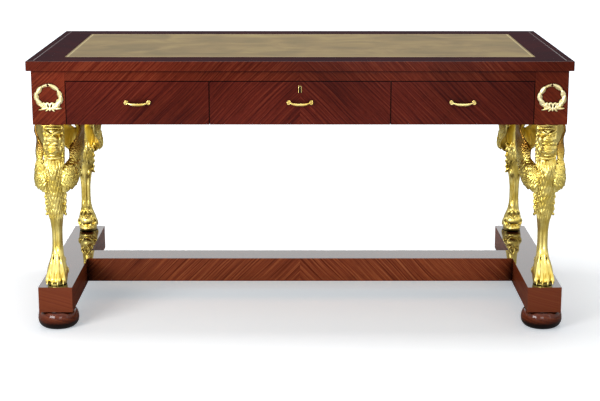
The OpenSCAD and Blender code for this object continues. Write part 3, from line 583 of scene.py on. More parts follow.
# %% Leg body
# [depth below the frieze, middle y, half width, half depth] in mm from the axis of the leg
SILHOUETTE = np.array([
    (0, 12, 27, 29), (12, 11, 27, 29), (30, 8, 27, 29), (60, 6, 28, 30), (95, 6, 28, 29), (112, 6, 27, 29),
    (135, 3, 28, 32), (165, 2, 27, 32), (200, 3, 26, 30), (230, 4, 25, 28), (265, 4, 23.5, 24),
    (285, 4, 21.5, 23), (300, 3, 21, 23), (318, 5, 18.5, 19.5), (335, 7, 16.8, 17.5), (374, 7, 16.4, 17),
    (398, 6, 17.5, 18), (416, 2, 19.5, 21), (430, -3, 24, 26), (446, -11, 29, 31), (466, -16, 32, 35),
    (482, -18, 31, 37), (496, -18, 28, 36)])
# Swellings and hollows of the front: [depth, x, spread down, spread across, amount forwards]
MODELLING = [(26, 0, 9, 22, 5), (40, 15, 5, 6, -7), (52, 0, 14, 13, 13), (73, 0, 3, 17, -5),
             (86, 0, 11, 15, 10), (106, 0, 5, 22, -6), (150, 0, 26, 15, 6)]
# Grooves between the tendons of the shank: [angle from the front in degrees, depth, half width in degrees].
# They run from the first of these depths to the second, and fade in and out
TENDON_GROOVES = [(0, 5.0, 15), (72, 3.0, 16), (152, 5.4, 13)]
SHANK = (290, 404)
SHANK_FADE = 18
DEPTHS = np.arange(0, LEG_HEIGHT + 1)
# The leg's axis, from the middle of the desk
LEG_X = -(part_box("leg_fl")[0][0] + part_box("leg_fl")[1][0]) / 2 / MM
LEG_Y = 325


def smoothed(values, reach):
    """A running mean, twice, which rounds the corners of a profile."""
    kernel = np.ones(2 * reach + 1) / (2 * reach + 1)
    for _ in range(2):
        values = np.convolve(np.pad(values, reach, mode="edge"), kernel, mode="valid")
    return values


MIDDLE, HALF_WIDTH, HALF_DEPTH = (smoothed(np.interp(DEPTHS, SILHOUETTE[:, 0], column), 5)
                                  for column in SILHOUETTE.T[1:])


def on_leg(depth, angle, lift=0.0):
    """A point of the skin by depth and by angle from the front, in mm from the leg's axis at the frieze."""
    depth, angle, lift = np.broadcast_arrays(*(np.asarray(v, float) for v in (depth, angle, lift)))
    turn = np.radians(angle)
    off_front = np.abs((angle + 180) % 360 - 180)
    groove = sum(cut * np.exp(-((off_front - at) / wide) ** 2) for at, cut, wide in TENDON_GROOVES)
    for from_end in (depth - SHANK[0], SHANK[1] - depth):
        groove = groove * np.clip(from_end / SHANK_FADE, 0, 1)
    out = lift - groove
    x = (np.interp(depth, DEPTHS, HALF_WIDTH) + out) * np.sin(turn)
    y = np.interp(depth, DEPTHS, MIDDLE) - (np.interp(depth, DEPTHS, HALF_DEPTH) + out) * np.cos(turn)
    facing = np.clip(np.cos(turn) * 1.6, 0, 1)
    for at, across, tall, wide, amount in MODELLING:
        for side in ((1, -1) if across else (1,)):
            y = y - facing * amount * np.exp(-((depth - at) / tall) ** 2 - ((x - side * across) / wide) ** 2)
    return np.stack([x, y, -depth], axis=-1)


def at_leg(points):
    """From mm in the leg's own frame to its place at the front left corner, in metres."""
    return (np.asarray(points, float) + (-LEG_X, -LEG_Y, FRIEZE_BOTTOM / MM)) * MM


def skins(name, rings):
    """One mesh of closed tubes with capped ends, from points in metres: [tube, ring, point of the ring]."""
    count, rows, around = rings.shape[:3]
    index = np.arange(rows * around).reshape(rows, around)
    after = np.roll(index, -1, axis=1)
    faces = np.stack([index[:-1], index[1:], after[1:], after[:-1]], axis=-1).reshape(-1, 4).tolist()
    faces += [index[0].tolist(), index[-1][::-1].tolist()]
    mesh = bpy.data.meshes.new(name)
    mesh.from_pydata(rings.reshape(-1, 3).tolist(), [],
                     [[v + k * rows * around for v in face] for k in range(count) for face in faces])
    made = bpy.data.objects.new(name, mesh)
    bpy.context.collection.objects.link(made)
    return tidy(made)


tube_depths, tube_angles = np.linspace(4, LEG_HEIGHT - 0.5, 230), np.arange(0, 360, 4)
tube = skins("leg_tube", at_leg(on_leg(tube_depths[:, None], tube_angles))[None])
print("leg tube has", len(tube.data.polygons), "faces")

# %% [markdown]
# ## The lion legs: face, mane and paw
# The head is small and frontal: a moulded cap, knitted brows over hollow eyes, a domed muzzle, full lips over
# a heavy round chin, and a ruff of curls at the cheeks. Below it hang pointed locks, then the shaggy thigh
# with a waved fringe at each side that ends in a curl. The paw has four toes with claws. Each lump is a
# sphere stretched to its place; each lock is a tapering roll along a curve, and starts and ends in the skin.

# %% Lumps and rolls
def lump(centre, radii):
    """A stretched sphere."""
    bpy.ops.mesh.primitive_uv_sphere_add(segments=20, ring_count=12, radius=1, location=at_leg(centre))
    made = bpy.context.object
    made.scale = [r * MM for r in radii]
    return tidy(made)


def rolls(name, strands, sides=1):
    """Tapering rolls. Each strand is a list of (point in metres, radius in mm)."""
    curve = bpy.data.curves.new(name, "CURVE")
    curve.dimensions = "3D"
    curve.bevel_depth = MM
    curve.bevel_resolution = sides
    curve.use_fill_caps = True
    for strand in strands:
        spline = curve.splines.new("POLY")
        spline.points.add(len(strand) - 1)
        for knot, (point, radius) in zip(spline.points, strand):
            knot.co = (*point, 1)
            knot.radius = radius
    made = bpy.data.objects.new(name, curve)
    bpy.context.collection.objects.link(made)
    alone(made)
    bpy.ops.object.convert(target="MESH")
    return tidy(bpy.context.object)


STEPS = np.linspace(0, 1, 9)


def bend(knots):
    """Nine points along a smooth curve through three or four knots."""
    knots = np.asarray(knots, float)
    at, power = np.linspace(0, 1, len(knots)), len(knots) - 1
    return np.stack([np.polyval(np.polyfit(at, column, power), STEPS) for column in knots.T], axis=-1)


def lock(depths, angles, thick, curl=3.0, root=0.6, tip=0.12):
    """A lock through knots of depth and angle on the skin: thick near its root, with a tip that lifts off."""
    way = bend(np.stack([depths, angles], axis=-1))
    radius = thick * np.clip(np.minimum(root + 2.2 * STEPS, 1.25 - 1.15 * STEPS ** 1.6), tip, 1)
    lift = curl * STEPS ** 2 + 0.15 * thick
    return list(zip(at_leg(on_leg(way[:, 0], way[:, 1], lift)), radius))


def arc(depth, half, front, sag, radius, fall):
    """A roll across the face: its half width, how far forwards it stands, how much its ends sink, its radius,
    and how far its ends fall back."""
    u = np.linspace(-1, 1, 11)
    points = np.stack([half * u, -front + fall * u ** 2, -(depth + sag * u ** 2)], axis=-1)
    return list(zip(at_leg(points), radius * (1 - 0.5 * u ** 4)))


print("steps along a lock", len(STEPS))

# %% Face
face = [
    lump((0, -23, -52), (20, 15, 14)),             # muzzle
    lump((0, -20, -87), (21, 19, 13)),             # chin
    lump((0, -25, -72), (18, 9, 4)),               # lower lip
]
for s in (1, -1):
    face += [
        lump((s * 10, -29, -62), (10, 7, 5.5)),        # upper lips
        lump((s * 21, -9, -54), (7, 9, 15)),           # cheeks
        lump((s * 22, -4, -84), (7, 11, 14)),          # jaw
        lump((s * 26, 4, -22), (6, 7, 9)),             # ears
    ]
# Edge of the cap, wrinkles of the muzzle, lips, folds of the chin and the collar under it
wrinkles = [arc(17, 27, 27, 0, 3.0, 7), arc(41, 16, 35, 7, 2.6, 8), arc(50.5, 13, 39.3, 6, 2.0, 6),
            arc(66, 20, 32, -3, 2.4, 11), arc(76, 19, 37, 3, 2.2, 12), arc(87, 13, 40, -5, 2.0, 6),
            arc(99, 19, 33, -7, 2.4, 12), arc(108, 28, 31, -3, 3.8, 12)]
BROW_RADII = np.array([3.2, 4.4, 5.2, 5.4, 5.2, 4.8, 4.2, 3.4, 2.2])
brows = []
for s in (1, -1):
    way = bend([(s * 1, -28, -36), (s * 10, -31, -31), (s * 20, -24, -26), (s * 28, -12, -25)])
    brows.append(list(zip(at_leg(way), BROW_RADII)))
print("lumps of the face", len(face), "wrinkles and brows", len(wrinkles) + len(brows))

# %% Mane, thigh and fringe
hair = []
for s in (1, -1):
    # The ruff: flat curls behind the cheeks, in four columns
    for angle, shift in ((66, 0), (84, 6), (104, 3), (128, 9)):
        for depth in range(14 + shift, 112, 13):
            hair.append(lock([depth, depth + 8, depth + 19],
                             [s * angle, s * (angle + 7), s * (angle - 8)], 4.4))
    # The mane lies close on the chest and runs down the front of the thigh in pointed locks
    for row, top in enumerate(range(116, 262, 18)):
        for k in range(5):
            angle = s * (8.5 + 17 * k - 8.5 * (row % 2))
            drop = top + 5 * ((k + row) % 2)
            hair.append(lock([drop, drop + 16, drop + 36], [angle, angle * 1.05, angle * 0.96],
                             3.2, curl=0.8, root=0.3))
    # The back of the thigh is smooth above and shaggy below, with a notch in the middle of its edge
    for row, top in enumerate((190, 212, 232)):
        for k in range(5):
            angle = s * (100 + 18 * k + 8 * (row % 2))
            drop = top + 7 * ((k + row) % 2) - 5 * k
            hair.append(lock([drop, drop + 20, drop + 44], [angle, angle + s * 3, angle - s * 6],
                             4.4, curl=4.2, root=0.4))
    # The fringe at each side of the thigh: a waved ribbon of hair that stands off and ends in a curl
    down = np.linspace(186, 280, 48)
    for angle, late in ((84, 0), (100, 1.5)):
        way = on_leg(down, s * angle, 4.6 + 2.2 * np.sin(down / 3.0 + late))
        hair.append([(point, 3.3) for point in at_leg(way)])
    hair.append(lock([266, 280, 287], [s * 84, s * 96, s * 88], 6.6, curl=8.0, tip=0.7))
    # Long curls behind the ankle, over the heel
    for row, top in enumerate((416, 446)):
        for k in range(2):
            angle = s * (176 - 30 * k - 15 * row)
            hair.append(lock([top + 3 * k, top + 16, top + 32], [angle, angle - s * 12, angle + s * 9],
                             5.4, curl=4.0, root=0.4))
print("locks of hair", len(hair))

# %% Paw
# Heights in this cell are in mm above the sole
TOE_PITCH = 15.4
TOE_RADII = np.array([2.6, 3.6, 4.6, 5.4, 6.2, 7.2, 7.8, 8.0, 7.2])
CLAW_RADII = np.linspace(3.4, 0.8, 9)
SOLE = np.array([0, 0, -LEG_HEIGHT])
claws = []
for toe in (-1.5, -0.5, 0.5, 1.5):
    x, y = toe * TOE_PITCH, -57 if abs(toe) < 1 else -50
    # A toe runs down from the shank as a tendon, over a knuckle, to a round pad
    way = bend([(x * 0.42, -21, 92), (x * 0.78, y + 22, 52), (x, y + 6, 27), (x * 1.03, y + 1, 9)])
    claws.append(list(zip(at_leg(way + SOLE), TOE_RADII)))
    way = bend([(x * 1.03, y - 5, 17), (x * 1.05, y - 11.5, 11), (x * 1.06, y - 12.5, 2.5)])
    claws.append(list(zip(at_leg(way + SOLE), CLAW_RADII)))
paw = [lump((0, -16, 15) + SOLE, (31, 32, 14)), lump((0, 8, 12) + SOLE, (25, 18, 13)),
       lump((0, 8, 38) + SOLE, (25, 18, 20))]
# The hock's two heads are placed by their depth below the frieze
paw += [lump((s * 14.5, 20, -288), (5.5, 6, 12)) for s in (1, -1)]
print("toes", len(claws) // 2)

# %% Merge the leg
SKIN_GRAIN = 1.25 * MM
# Where the skin is cut off flat: just over the base, and inside the cap
LEG_CUTS = [(BASE_TOP + 0.2 * MM, False), (FRIEZE_BOTTOM - 6 * MM, True)]


def cut(level, upper, normal=(0, 0, 1)):
    """Cuts the mesh that is in edit mode, fills the cut and takes away the part above or below it."""
    bpy.ops.mesh.select_all(action="SELECT")
    bpy.ops.mesh.bisect(plane_co=[level * v for v in normal], plane_no=normal, use_fill=True,
                        clear_outer=upper, clear_inner=not upper)


strands = [rolls("wrinkles", wrinkles + brows), rolls("hair", hair), rolls("claws", claws)]
leg = join([tube] + face + paw + strands, "lion_leg_fl")
apply_modifier(leg, "REMESH", mode="VOXEL", voxel_size=SKIN_GRAIN, adaptivity=0.0)
apply_modifier(leg, "SMOOTH", factor=0.5, iterations=1)
alone(leg)
bpy.ops.object.mode_set(mode="EDIT")
for level, upper in LEG_CUTS:
    cut(level, upper)
bpy.ops.object.mode_set(mode="OBJECT")
print("skin has", len(leg.data.polygons), "faces")

# %% Cap
# The cap is a moulded block under the frieze, in three layers: depth, height, overhang and rounding in mm
CAP_WIDTH, CAP_DEPTH, CAP_MIDDLE = 59, 60, 11
CAP_LAYERS = [(2.2, 4.3, 1.5, 0.8), (6.4, 3.9, -1.2, 1.4), (10.6, 4.3, 1.2, 1.6)]
cap = []
for depth, tall, grow, soft in CAP_LAYERS:
    bpy.ops.mesh.primitive_cube_add(size=1, location=at_leg((0, CAP_MIDDLE, -depth)))
    slab = bpy.context.object
    slab.scale = np.array([CAP_WIDTH + 2 * grow, CAP_DEPTH + 2 * grow, tall]) * MM
    apply_modifier(tidy(slab), "BEVEL", width=soft * MM, segments=3)
    cap.append(slab)
leg = join([leg] + cap, "lion_leg_fl")
shade_smooth(45)
in_every_corner(leg, "lion_leg", "leg", CHASED_GILT)
print("leg has", sum(len(f.vertices) - 2 for f in leg.data.polygons), "triangles")

# %% [markdown]
# ## The wings: blade and rim
# Each leg carries a pair of wings that spring from the shoulders, sweep back and rise to the frieze. A wing
# is a cast blade, thin and bowed outwards, with flutes that run down its inner side and a plain raised rim
# along its front and lower edge. A grid takes the shape of the blade and is then given its thickness.

# %% Wing blade
# [depth, front y, front reach, rear y, rear reach] in mm; a front reach of 0 starts inside the leg's shoulder
WING = np.array([
    (0, 92, 44, 203, 41), (14, 90, 57, 203, 53), (28, 85, 66, 203, 60), (44, 80, 67, 203, 61),
    (65, 73, 58, 203, 61), (82, 61, 46, 202, 60), (94, 50, 39, 200, 59), (108, 41, 42, 196, 59),
    (120, 34, 42, 184, 59), (129, 22, 36, 170, 60), (137, -2, 0, 152, 61), (150, -12, 0, 122, 62),
    (165, -16, 0, 94, 63), (180, -17, 0, 63, 62), (195, -16, 0, 35, 56), (206, -14, 0, 16, 44),
    (214, -12, 0, 4, 34)])
WING_DEPTH = WING[-1, 0]
BLADE = 4.6
FLUTE_PITCH, FLUTE_DEPTH = 15, 1.1
# The blade bows outwards by this much at one depth and less above and below it: amount, depth, spread
BULGE, BULGE_AT, BULGE_SPREAD = 20, 100, 30
WING_STEPS = np.arange(0, WING_DEPTH + 0.5)
ROOTED = np.interp(WING_STEPS, WING[:, 0], WING[:, 2] == 0)
FRONT_REACH = np.where(WING[:, 2] == 0, np.interp(WING[:, 0], DEPTHS, HALF_WIDTH) - 3, WING[:, 2])
FRONT_Y, FRONT_X, REAR_Y, REAR_X = (smoothed(np.interp(WING_STEPS, WING[:, 0], column), 3)
                                    for column in (WING[:, 1], FRONT_REACH, WING[:, 3], WING[:, 4]))


def on_wing(depth, across):
    """A point of the blade by its depth and its place from the front edge (0) to the rear edge (1), in mm."""
    depth, t = np.broadcast_arrays(np.asarray(depth, float), np.asarray(across, float))
    front_x, front_y, rear_x, rear_y, rooted = (np.interp(depth, WING_STEPS, v)
                                                for v in (FRONT_X, FRONT_Y, REAR_X, REAR_Y, ROOTED))
    bulge = BULGE * np.exp(-((depth - BULGE_AT) / BULGE_SPREAD) ** 2)
    out_x = np.maximum(front_x, rear_x) + 3 + 5 * rooted + bulge
    out_y = front_y + 12 - 8 * rooted
    x = (1 - t) ** 2 * front_x + 2 * t * (1 - t) * out_x + t ** 2 * rear_x
    y = (1 - t) ** 2 * front_y + 2 * t * (1 - t) * out_y + t ** 2 * rear_y
    return np.stack([x, y, -depth], axis=-1)


def wing_frame(depth, across):
    """The point, the way down, the way back and the way outwards at a place of the blade."""
    point = on_wing(depth, across)
    down = on_wing(depth + 1, across) - on_wing(depth - 1, across)
    back = on_wing(depth, across + 0.01) - on_wing(depth, across - 0.01)
    down /= np.linalg.norm(down, axis=-1, keepdims=True)
    back /= np.linalg.norm(back, axis=-1, keepdims=True)
    out = np.cross(down, back)
    out /= np.linalg.norm(out, axis=-1, keepdims=True)
    return point, down, back, out


OUTWARDS = np.sign(wing_frame(60.0, 0.5)[3][0])
print("wing reaches", round(WING_DEPTH), "mm down; its cross product points", "out" if OUTWARDS > 0 else "in")

# %% Blade mesh
ACROSS, DOWN = 44, 72
bpy.ops.mesh.primitive_grid_add(x_subdivisions=ACROSS, y_subdivisions=DOWN, size=1)
blade = bpy.context.object
blade.name = "wing_blade"
coordinates = np.array([v.co for v in blade.data.vertices])
depth, across = 0.3 + (0.5 - coordinates[:, 1]) * (WING_DEPTH - 1), coordinates[:, 0] + 0.5
out = wing_frame(np.clip(depth, 1, WING_DEPTH - 1), np.clip(across, 0.01, 0.99))[3]
point = on_wing(depth, across)
flute = FLUTE_DEPTH * (np.abs(np.sin(math.pi * point[:, 1] / FLUTE_PITCH)) - 1)
blade.data.vertices.foreach_set("co", at_leg(point + flute[:, None] * out * np.sign(out[:, :1])).ravel())
tidy(blade)
apply_modifier(blade, "SOLIDIFY", thickness=BLADE * MM, offset=0.0, use_even_offset=False)
apply_modifier(blade, "BEVEL", width=1.2 * MM, segments=2, angle_limit=math.radians(50), limit_method="ANGLE")
print("blade has", len(blade.data.polygons), "faces")

# %% [markdown]
# ## The wings: feathers
# Outside, the blade is covered with feathers: a dense net of small scales above and larger, fuller, curled
# ones below, like roof tiles that point down and back, each over the root of the next. One feather has
# a ridge along its middle and a tip that lifts. It is shaped once from a ring of a few points, and every
# copy is turned, sized and bent for its place.

# %% Feathers
STATIONS = np.array([0.0, 0.2, 0.5, 0.8, 1.0])
BREADTH = np.array([0.35, 0.85, 1.0, 0.72, 0.10])
RISE = np.array([0.15, 0.8, 1.0, 0.9, 0.35])
SECTION = np.array([(-1, 0), (-0.55, 0.62), (0, 1.0), (0.55, 0.62), (1, 0), (0, -1.1)])


def feather(centre, along, side, out, length, width, tall, curl):
    """The rings of one feather, from its root to its tip, in mm."""
    lift = 0.3 + 0.04 * length * STATIONS + curl * STATIONS ** 3
    rings = centre + along * (length * (STATIONS - 0.5))[:, None, None]
    rings = rings + side * (SECTION[None, :, 0] * BREADTH[:, None] * width / 2)[..., None]
    return rings + out * (SECTION[None, :, 1] * RISE[:, None] * tall + lift[:, None])[..., None]


# Row spacing: the small scales at the top, and how much it grows down to the foot
SCALE_PITCH, PITCH_GROWTH = 5.6, 4.4
SEED = 3


def feather_coat():
    """The rings of all the feathers of a wing, in mm. They grow and stand more ruffled towards its foot."""
    rng = np.random.default_rng(SEED)
    rings, depth, row = [], 7.0, 0
    while depth < WING_DEPTH - 9:
        share = depth / WING_DEPTH
        pitch = SCALE_PITCH + PITCH_GROWTH * share ** 1.4
        length_back = np.linalg.norm(np.diff(on_wing(depth, np.linspace(0, 1, 30)), axis=0), axis=1).sum()
        count = max(2, int(length_back / (pitch * 1.05)))
        for k in range(count):
            t = (k + 0.5 + 0.45 * (row % 2)) / (count + 0.5)
            if t > 0.985 or (ROOTED[int(depth)] > 0.5 and t < 0.04):
                continue
            jitter = rng.normal(0, 1, 4)
            point, down, back, out = wing_frame(depth + 0.6 * jitter[0],
                                                np.clip(t + 0.006 * jitter[1], 0.02, 0.98))
            lean = 0.30 + 0.45 * share + (0.08 + 0.55 * share) * jitter[2]
            along = down + lean * back
            along /= np.linalg.norm(along)
            out = out * OUTWARDS
            side = np.cross(out, along)
            length = pitch * (1.75 + 0.25 * share)
            rings.append(feather(point + out * BLADE / 2, along, side, out, length, pitch * 1.06,
                                 1.7 + 0.8 * share, (0.4 + 1.8 * share ** 2) * (1 + 0.35 * jitter[3])))
        depth += pitch * (0.98 - 0.1 * share)
        row += 1
    return np.array(rings)


coat_rings = feather_coat()
coat = skins("feathers", at_leg(coat_rings))
print("a wing has", len(coat_rings), "feathers")

# %% Rim and pair of wings
rim = [(at_leg(p), 2.7) for p in on_wing(np.linspace(1, WING_DEPTH - 1, 60), 0.0)]
foot_line = [(at_leg(p), 2.4) for p in on_wing(WING_DEPTH - 1, np.linspace(0, 1, 12))]
spiral = []
point, down, back, out = wing_frame(158.0, 0.80)
for step in np.linspace(0, 1, 26):
    turn, reach = 2 * math.pi * 1.6 * step, 8.5 * (1 - 0.8 * step)
    spot = point + out * OUTWARDS * (BLADE / 2 + 3.5)
    spiral.append((at_leg(spot + reach * (math.cos(turn) * down + math.sin(turn) * back)), 2.2))
blade_faces = len(blade.data.polygons)
wing = join([blade, coat, rolls("rim", [rim, foot_line, spiral], sides=2)], "right_wing")
wing_faces = len(wing.data.polygons)
wings = join([wing, mirrored(wing, "left_wing", True, False, about_x=-LEG_X * MM)], "lion_wings_fl")
alone(wings)
shade_smooth(50)
for placed in in_every_corner(wings, "lion_wings", "wings", WING_GILT):
    # The blades have a satin finish, the feathers are burnished
    placed.data.materials.append(SATIN_GILT)
    placed.data.polygons.foreach_set("material_index", np.arange(2 * wing_faces) % wing_faces < blade_faces)
print("wings have", sum(len(f.vertices) - 2 for f in wings.data.polygons), "triangles")

# %% [markdown]
# ## The bun feet
# A foot is turned on a lathe: a flat sole, a full round belly, and a narrow neck that leaves a dark line
# under the beam. Sweeping half of its outline round an axis is what the lathe does.

# %% Bun feet
SOLE_R = 37 * MM
NECK_R = 46 * MM
NECK_H = 2.5 * MM


def turned(name, outline, place, steps=64, tilt=0):
    """A turned piece: an outline of (radius, height) points, swept round an axis that a tilt may lay over."""
    mesh = bpy.data.meshes.new(name)
    mesh.from_pydata([(r, 0, h) for r, h in outline], [(k, k + 1) for k in range(len(outline) - 1)], [])
    made = bpy.data.objects.new(name, mesh)
    bpy.context.collection.objects.link(made)
    apply_modifier(made, "SCREW", steps=steps, render_steps=steps, use_merge_vertices=True,
                   merge_threshold=SAME_PLACE)
    made.rotation_euler.x = math.radians(tilt)
    made.location = place
    return tidy(made)


for corner in CORNERS:
    (x_low, y_low, z_low), (x_high, y_high, z_high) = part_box(f"bun_foot_{corner}")
    belly, body = (x_high - x_low) / 2, z_high - z_low - NECK_H
    outline = [(0, 0)]
    for turn in np.linspace(-90, 90, 25):
        rim = SOLE_R if turn < 0 else NECK_R + 2 * NECK_H
        outline.append((rim + (belly - rim) * math.cos(math.radians(turn)),
                        body / 2 * (1 + math.sin(math.radians(turn)))))
    outline += [(NECK_R, body), (NECK_R, body + NECK_H), (0, body + NECK_H)]
    foot = turned(f"turned_foot_{corner}", outline, ((x_low + x_high) / 2, (y_low + y_high) / 2, z_low))
    shade_smooth(40)
    dress(foot, f"bun_foot_{corner}", FOOT_POLISH)
print("a foot is", round(2 * belly / MM), "mm wide and has", len(foot.data.polygons), "faces")

# %% [markdown]
# ## The handles
# Each drawer has a small cast handle: two posts with a moulded rosette and a ring at their head, and a bail
# that swells to a fat, bright middle and hangs almost straight. The rosette and stem are turned, the ring
# is a torus, and the bail is a bar whose thickness changes along a sagging curve. Pins at its ends turn
# in the rings.

# %% Handles
ROSETTE_R = 6.4 * MM
STEM_R = 2.3 * MM
RING_R, RING_THICK = 4.3 * MM, 1.55 * MM
FACING_FRONT = (math.radians(90), 0, 0)
# A post's axis lies this far inside the end of the posts' box, and the bail's middle line this far above the
# foot of the bail's box
POST_INSET = 6 * MM
BAIL_OVER_FOOT = 6.4 * MM
HINGES = {joint["child"]: Vector(joint["pos_m"]) for joint in BEHAVIOUR["joints"] if joint["type"] == "hinge"}
# Outlines of turned parts, (radius, height): the rosette in shares of its radius, the bail's collar in mm
ROSETTE = [(0, 0), (1.0, 0), (1.0, 0.15), (0.9, 0.27), (0.78, 0.29), (0.70, 0.22), (0.58, 0.22), (0.50, 0.34),
           (0.40, 0.42), (0.36, 0.6)]
COLLAR = [(0, -0.9), (2.3, -0.9), (2.7, 0), (2.3, 0.9), (0, 0.9)]
# The bail: from its thin ends it swells to a fat middle, over a share of its half length
BAIL_THIN, BAIL_SWELL, SWELL_SHARE, PIN_R = 1.6, 2.8, 0.42, 0.9


def handle_post(hinge, x):
    """A rosette on the drawer front, a stem and a ring that the bail's pin turns in."""
    reach = FRIEZE_FRONT - hinge.y
    outline = [(r * ROSETTE_R, h * ROSETTE_R) for r, h in ROSETTE]
    outline += [(STEM_R, reach - RING_THICK), (0, reach)]
    post = turned("post", outline, (x, FRIEZE_FRONT, hinge.z), 32, tilt=90)
    bpy.ops.mesh.primitive_torus_add(major_radius=RING_R, minor_radius=RING_THICK, major_segments=32,
                                     minor_segments=12, location=(x, hinge.y, hinge.z), rotation=FACING_FRONT)
    ring = tidy(bpy.context.object)
    bpy.ops.mesh.primitive_cylinder_add(vertices=24, radius=RING_R - 0.2 * MM, depth=1.2 * MM,
                                        location=(x, hinge.y + 1.2 * MM, hinge.z), rotation=FACING_FRONT)
    return [post, ring, tidy(bpy.context.object)]


for side in ("left", "centre", "right"):
    hinge = HINGES[f"bail_{side}"]
    low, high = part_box(f"handle_posts_{side}")
    half_pitch = (high[0] - low[0]) / 2 - POST_INSET
    posts = []
    for s in (-1, 1):
        posts += handle_post(hinge, hinge.x + s * half_pitch)
    posts = join(posts, f"cast_posts_{side}")
    shade_smooth(40)
    dress(posts, f"handle_posts_{side}", BRASS)

    sag = hinge.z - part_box(f"handle_bail_{side}")[0][2] - BAIL_OVER_FOOT
    u = np.linspace(-1, 1, 33)
    way = np.stack([hinge.x + (half_pitch - RING_R) * u, np.full_like(u, hinge.y),
                    hinge.z - sag * (1 - np.abs(u) ** 3)], axis=-1)
    thick = BAIL_THIN + BAIL_SWELL * np.clip((1 - np.abs(u)) / SWELL_SHARE, 0, 1) ** 0.8
    thick[[0, -1]] = PIN_R
    bar = rolls(f"bail_{side}", [list(zip(way, thick))], sides=4)
    collars = []
    for s in (-1, 1):
        collar = turned("collar", [(r * MM, h * MM) for r, h in COLLAR], (0, 0, 0), 24)
        collar.rotation_euler.y = math.radians(90)
        collar.location = way[16 + 13 * s]
        collars.append(tidy(collar))
    bail = join([bar] + collars, f"cast_bail_{side}")
    shade_smooth(40)
    dress(bail, f"handle_bail_{side}", BRASS)
print("handles hang", round(sag / MM, 1), "mm below their pins")

# %% [markdown]
# ## The keyhole
# The keyhole is lined with a thin brass thread bent to a hairpin, open below, round a nearly black plate that
# is painted shade for the dark of the keyhole. A bar along a hairpin curve makes the thread.

# %% Keyhole
# The thread's radius in mm, as a roll takes it
THREAD_R = 0.85
(PLATE_LEFT, PLATE_FRONT, PLATE_LOW), (PLATE_RIGHT, PLATE_BACK, PLATE_TOP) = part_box("keyhole_plate")
plate_x, half = (PLATE_LEFT + PLATE_RIGHT) / 2, (PLATE_RIGHT - PLATE_LEFT) / 2 - THREAD_R * MM
bend_z = PLATE_TOP - half - THREAD_R * MM
hairpin = [(-half, PLATE_LOW)]
for turn in np.radians(range(0, 181, 15)):
    hairpin.append((-half * math.cos(turn), bend_z + half * math.sin(turn)))
hairpin.append((half, PLATE_LOW))
hairpin = [((plate_x + x, PLATE_FRONT + 0.6 * MM, z), THREAD_R) for x, z in hairpin]
thread = rolls("thread", [hairpin], sides=2)
thread.data.materials.append(BRASS)
# Behind the thread, a nearly black plate: painted shade for the dark of the keyhole
bpy.ops.mesh.primitive_cube_add(size=1, location=(plate_x, PLATE_BACK - 1 * MM, (PLATE_TOP + PLATE_LOW) / 2))
backing = bpy.context.object
backing.name = "keyhole_backing"
backing.scale = (2 * half, 1.6 * MM, PLATE_TOP - PLATE_LOW - 1 * MM)
apply_modifier(tidy(backing), "BEVEL", width=0.3 * MM, segments=2)
backing.data.materials.append(KEYHOLE_SHADE)
keyhole = join([thread, backing], "keyhole_lining")
shade_smooth(40)
mount(keyhole, "keyhole_plate")
print("keyhole lining is", round(2 * half / MM, 1), "mm wide inside its thread")

# %% [markdown]
# ## The laurel wreaths
# A wreath is a flat casting: two laurel branches that rise from a bow and meet at the top. Each branch is a
# chain of fat pointed leaves, every leaf over the root of the next. The bow has two loops that leave
# teardrop holes, and short ribbon ends. Leaves and ribbons are laid out flat, merged into one casting
# and cut off at the wood.

# %% Wreath
# Leaves: [x, height] of the middle in mm, the way the tip points in degrees from the right, length, width
LEAVES = [
    (-18, -26, 152, 22, 12), (-28, -15, 122, 28, 16), (-35, 2, 97, 28, 16), (-26, 22, 58, 29, 15),
    (-11, 35, 26, 24, 8), (20, -28, 26, 20, 12), (27, -20, 48, 28, 16), (36, -6, 80, 28, 15.5),
    (33, 10, 108, 28, 16), (16, 31, 146, 35, 14), (-16, -21, 70, 17, 9), (25, -13, 78, 18, 8)]
# Ribbon ends and the curls at the foot of the bow
RIBBONS = [(-18, -35, 188, 24, 7), (27, -33, 8, 24, 7.5), (-3, -36.5, 214, 16, 7), (12, -36.5, 322, 16, 7),
           (4, -36, 270, 10, 8), (-9, -22, 120, 16, 11), (17, -22, 58, 16, 11)]
LEAF_RISE, LEAF_CURL = 4.4, 2.2
# Two loops about a knot: its place, a loop's half width and half height, lean in degrees, thickness
BOW_X, LOOP_Z, LOOP_OFF, LOOP_WIDE, LOOP_TALL, LOOP_LEAN, LOOP_R = 4, -25, 5.0, 4.6, 8.6, 16, 3.1
BOW_ENDS = [(8, -30, 3.2), (15, -33, 3.4), (22, -31, 2.6)]
STEM_RING, STEM_THICK = 34, 2.2
CASTING_GRAIN = 0.65 * MM


def middle_of(node):
    """The middle of a node in X and Z, on the face of the frieze."""
    (x_low, _, z_low), (x_high, _, z_high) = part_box(node)
    return (x_low + x_high) / 2, FRIEZE_FRONT, (z_low + z_high) / 2


WREATH_AT = Vector(middle_of("wreath_fl"))


def at_wreath(points):
    """From mm in the wreath's own frame to its place at the front left corner, in metres."""
    return np.asarray(points, float) * MM + np.array(WREATH_AT)


def leaves(name, layout, lift):
    """Flat pointed leaves with a raised midrib, as one mesh."""
    rings, out = [], np.array([0, -1.0, 0])
    for x, height, way, length, width in layout:
        along = np.array([math.cos(math.radians(way)), 0, math.sin(math.radians(way))])
        middle = np.array([x, -lift, height], float)
        rings.append(feather(middle, along, np.cross(out, along), out, length, width, LEAF_RISE, LEAF_CURL))
    return skins(name, at_wreath(rings))


def strand(points):
    """A roll through [x, forwards, height, radius] in mm from the middle of the wreath."""
    return [(at_wreath((x, -front, z)), r) for x, front, z, r in points]


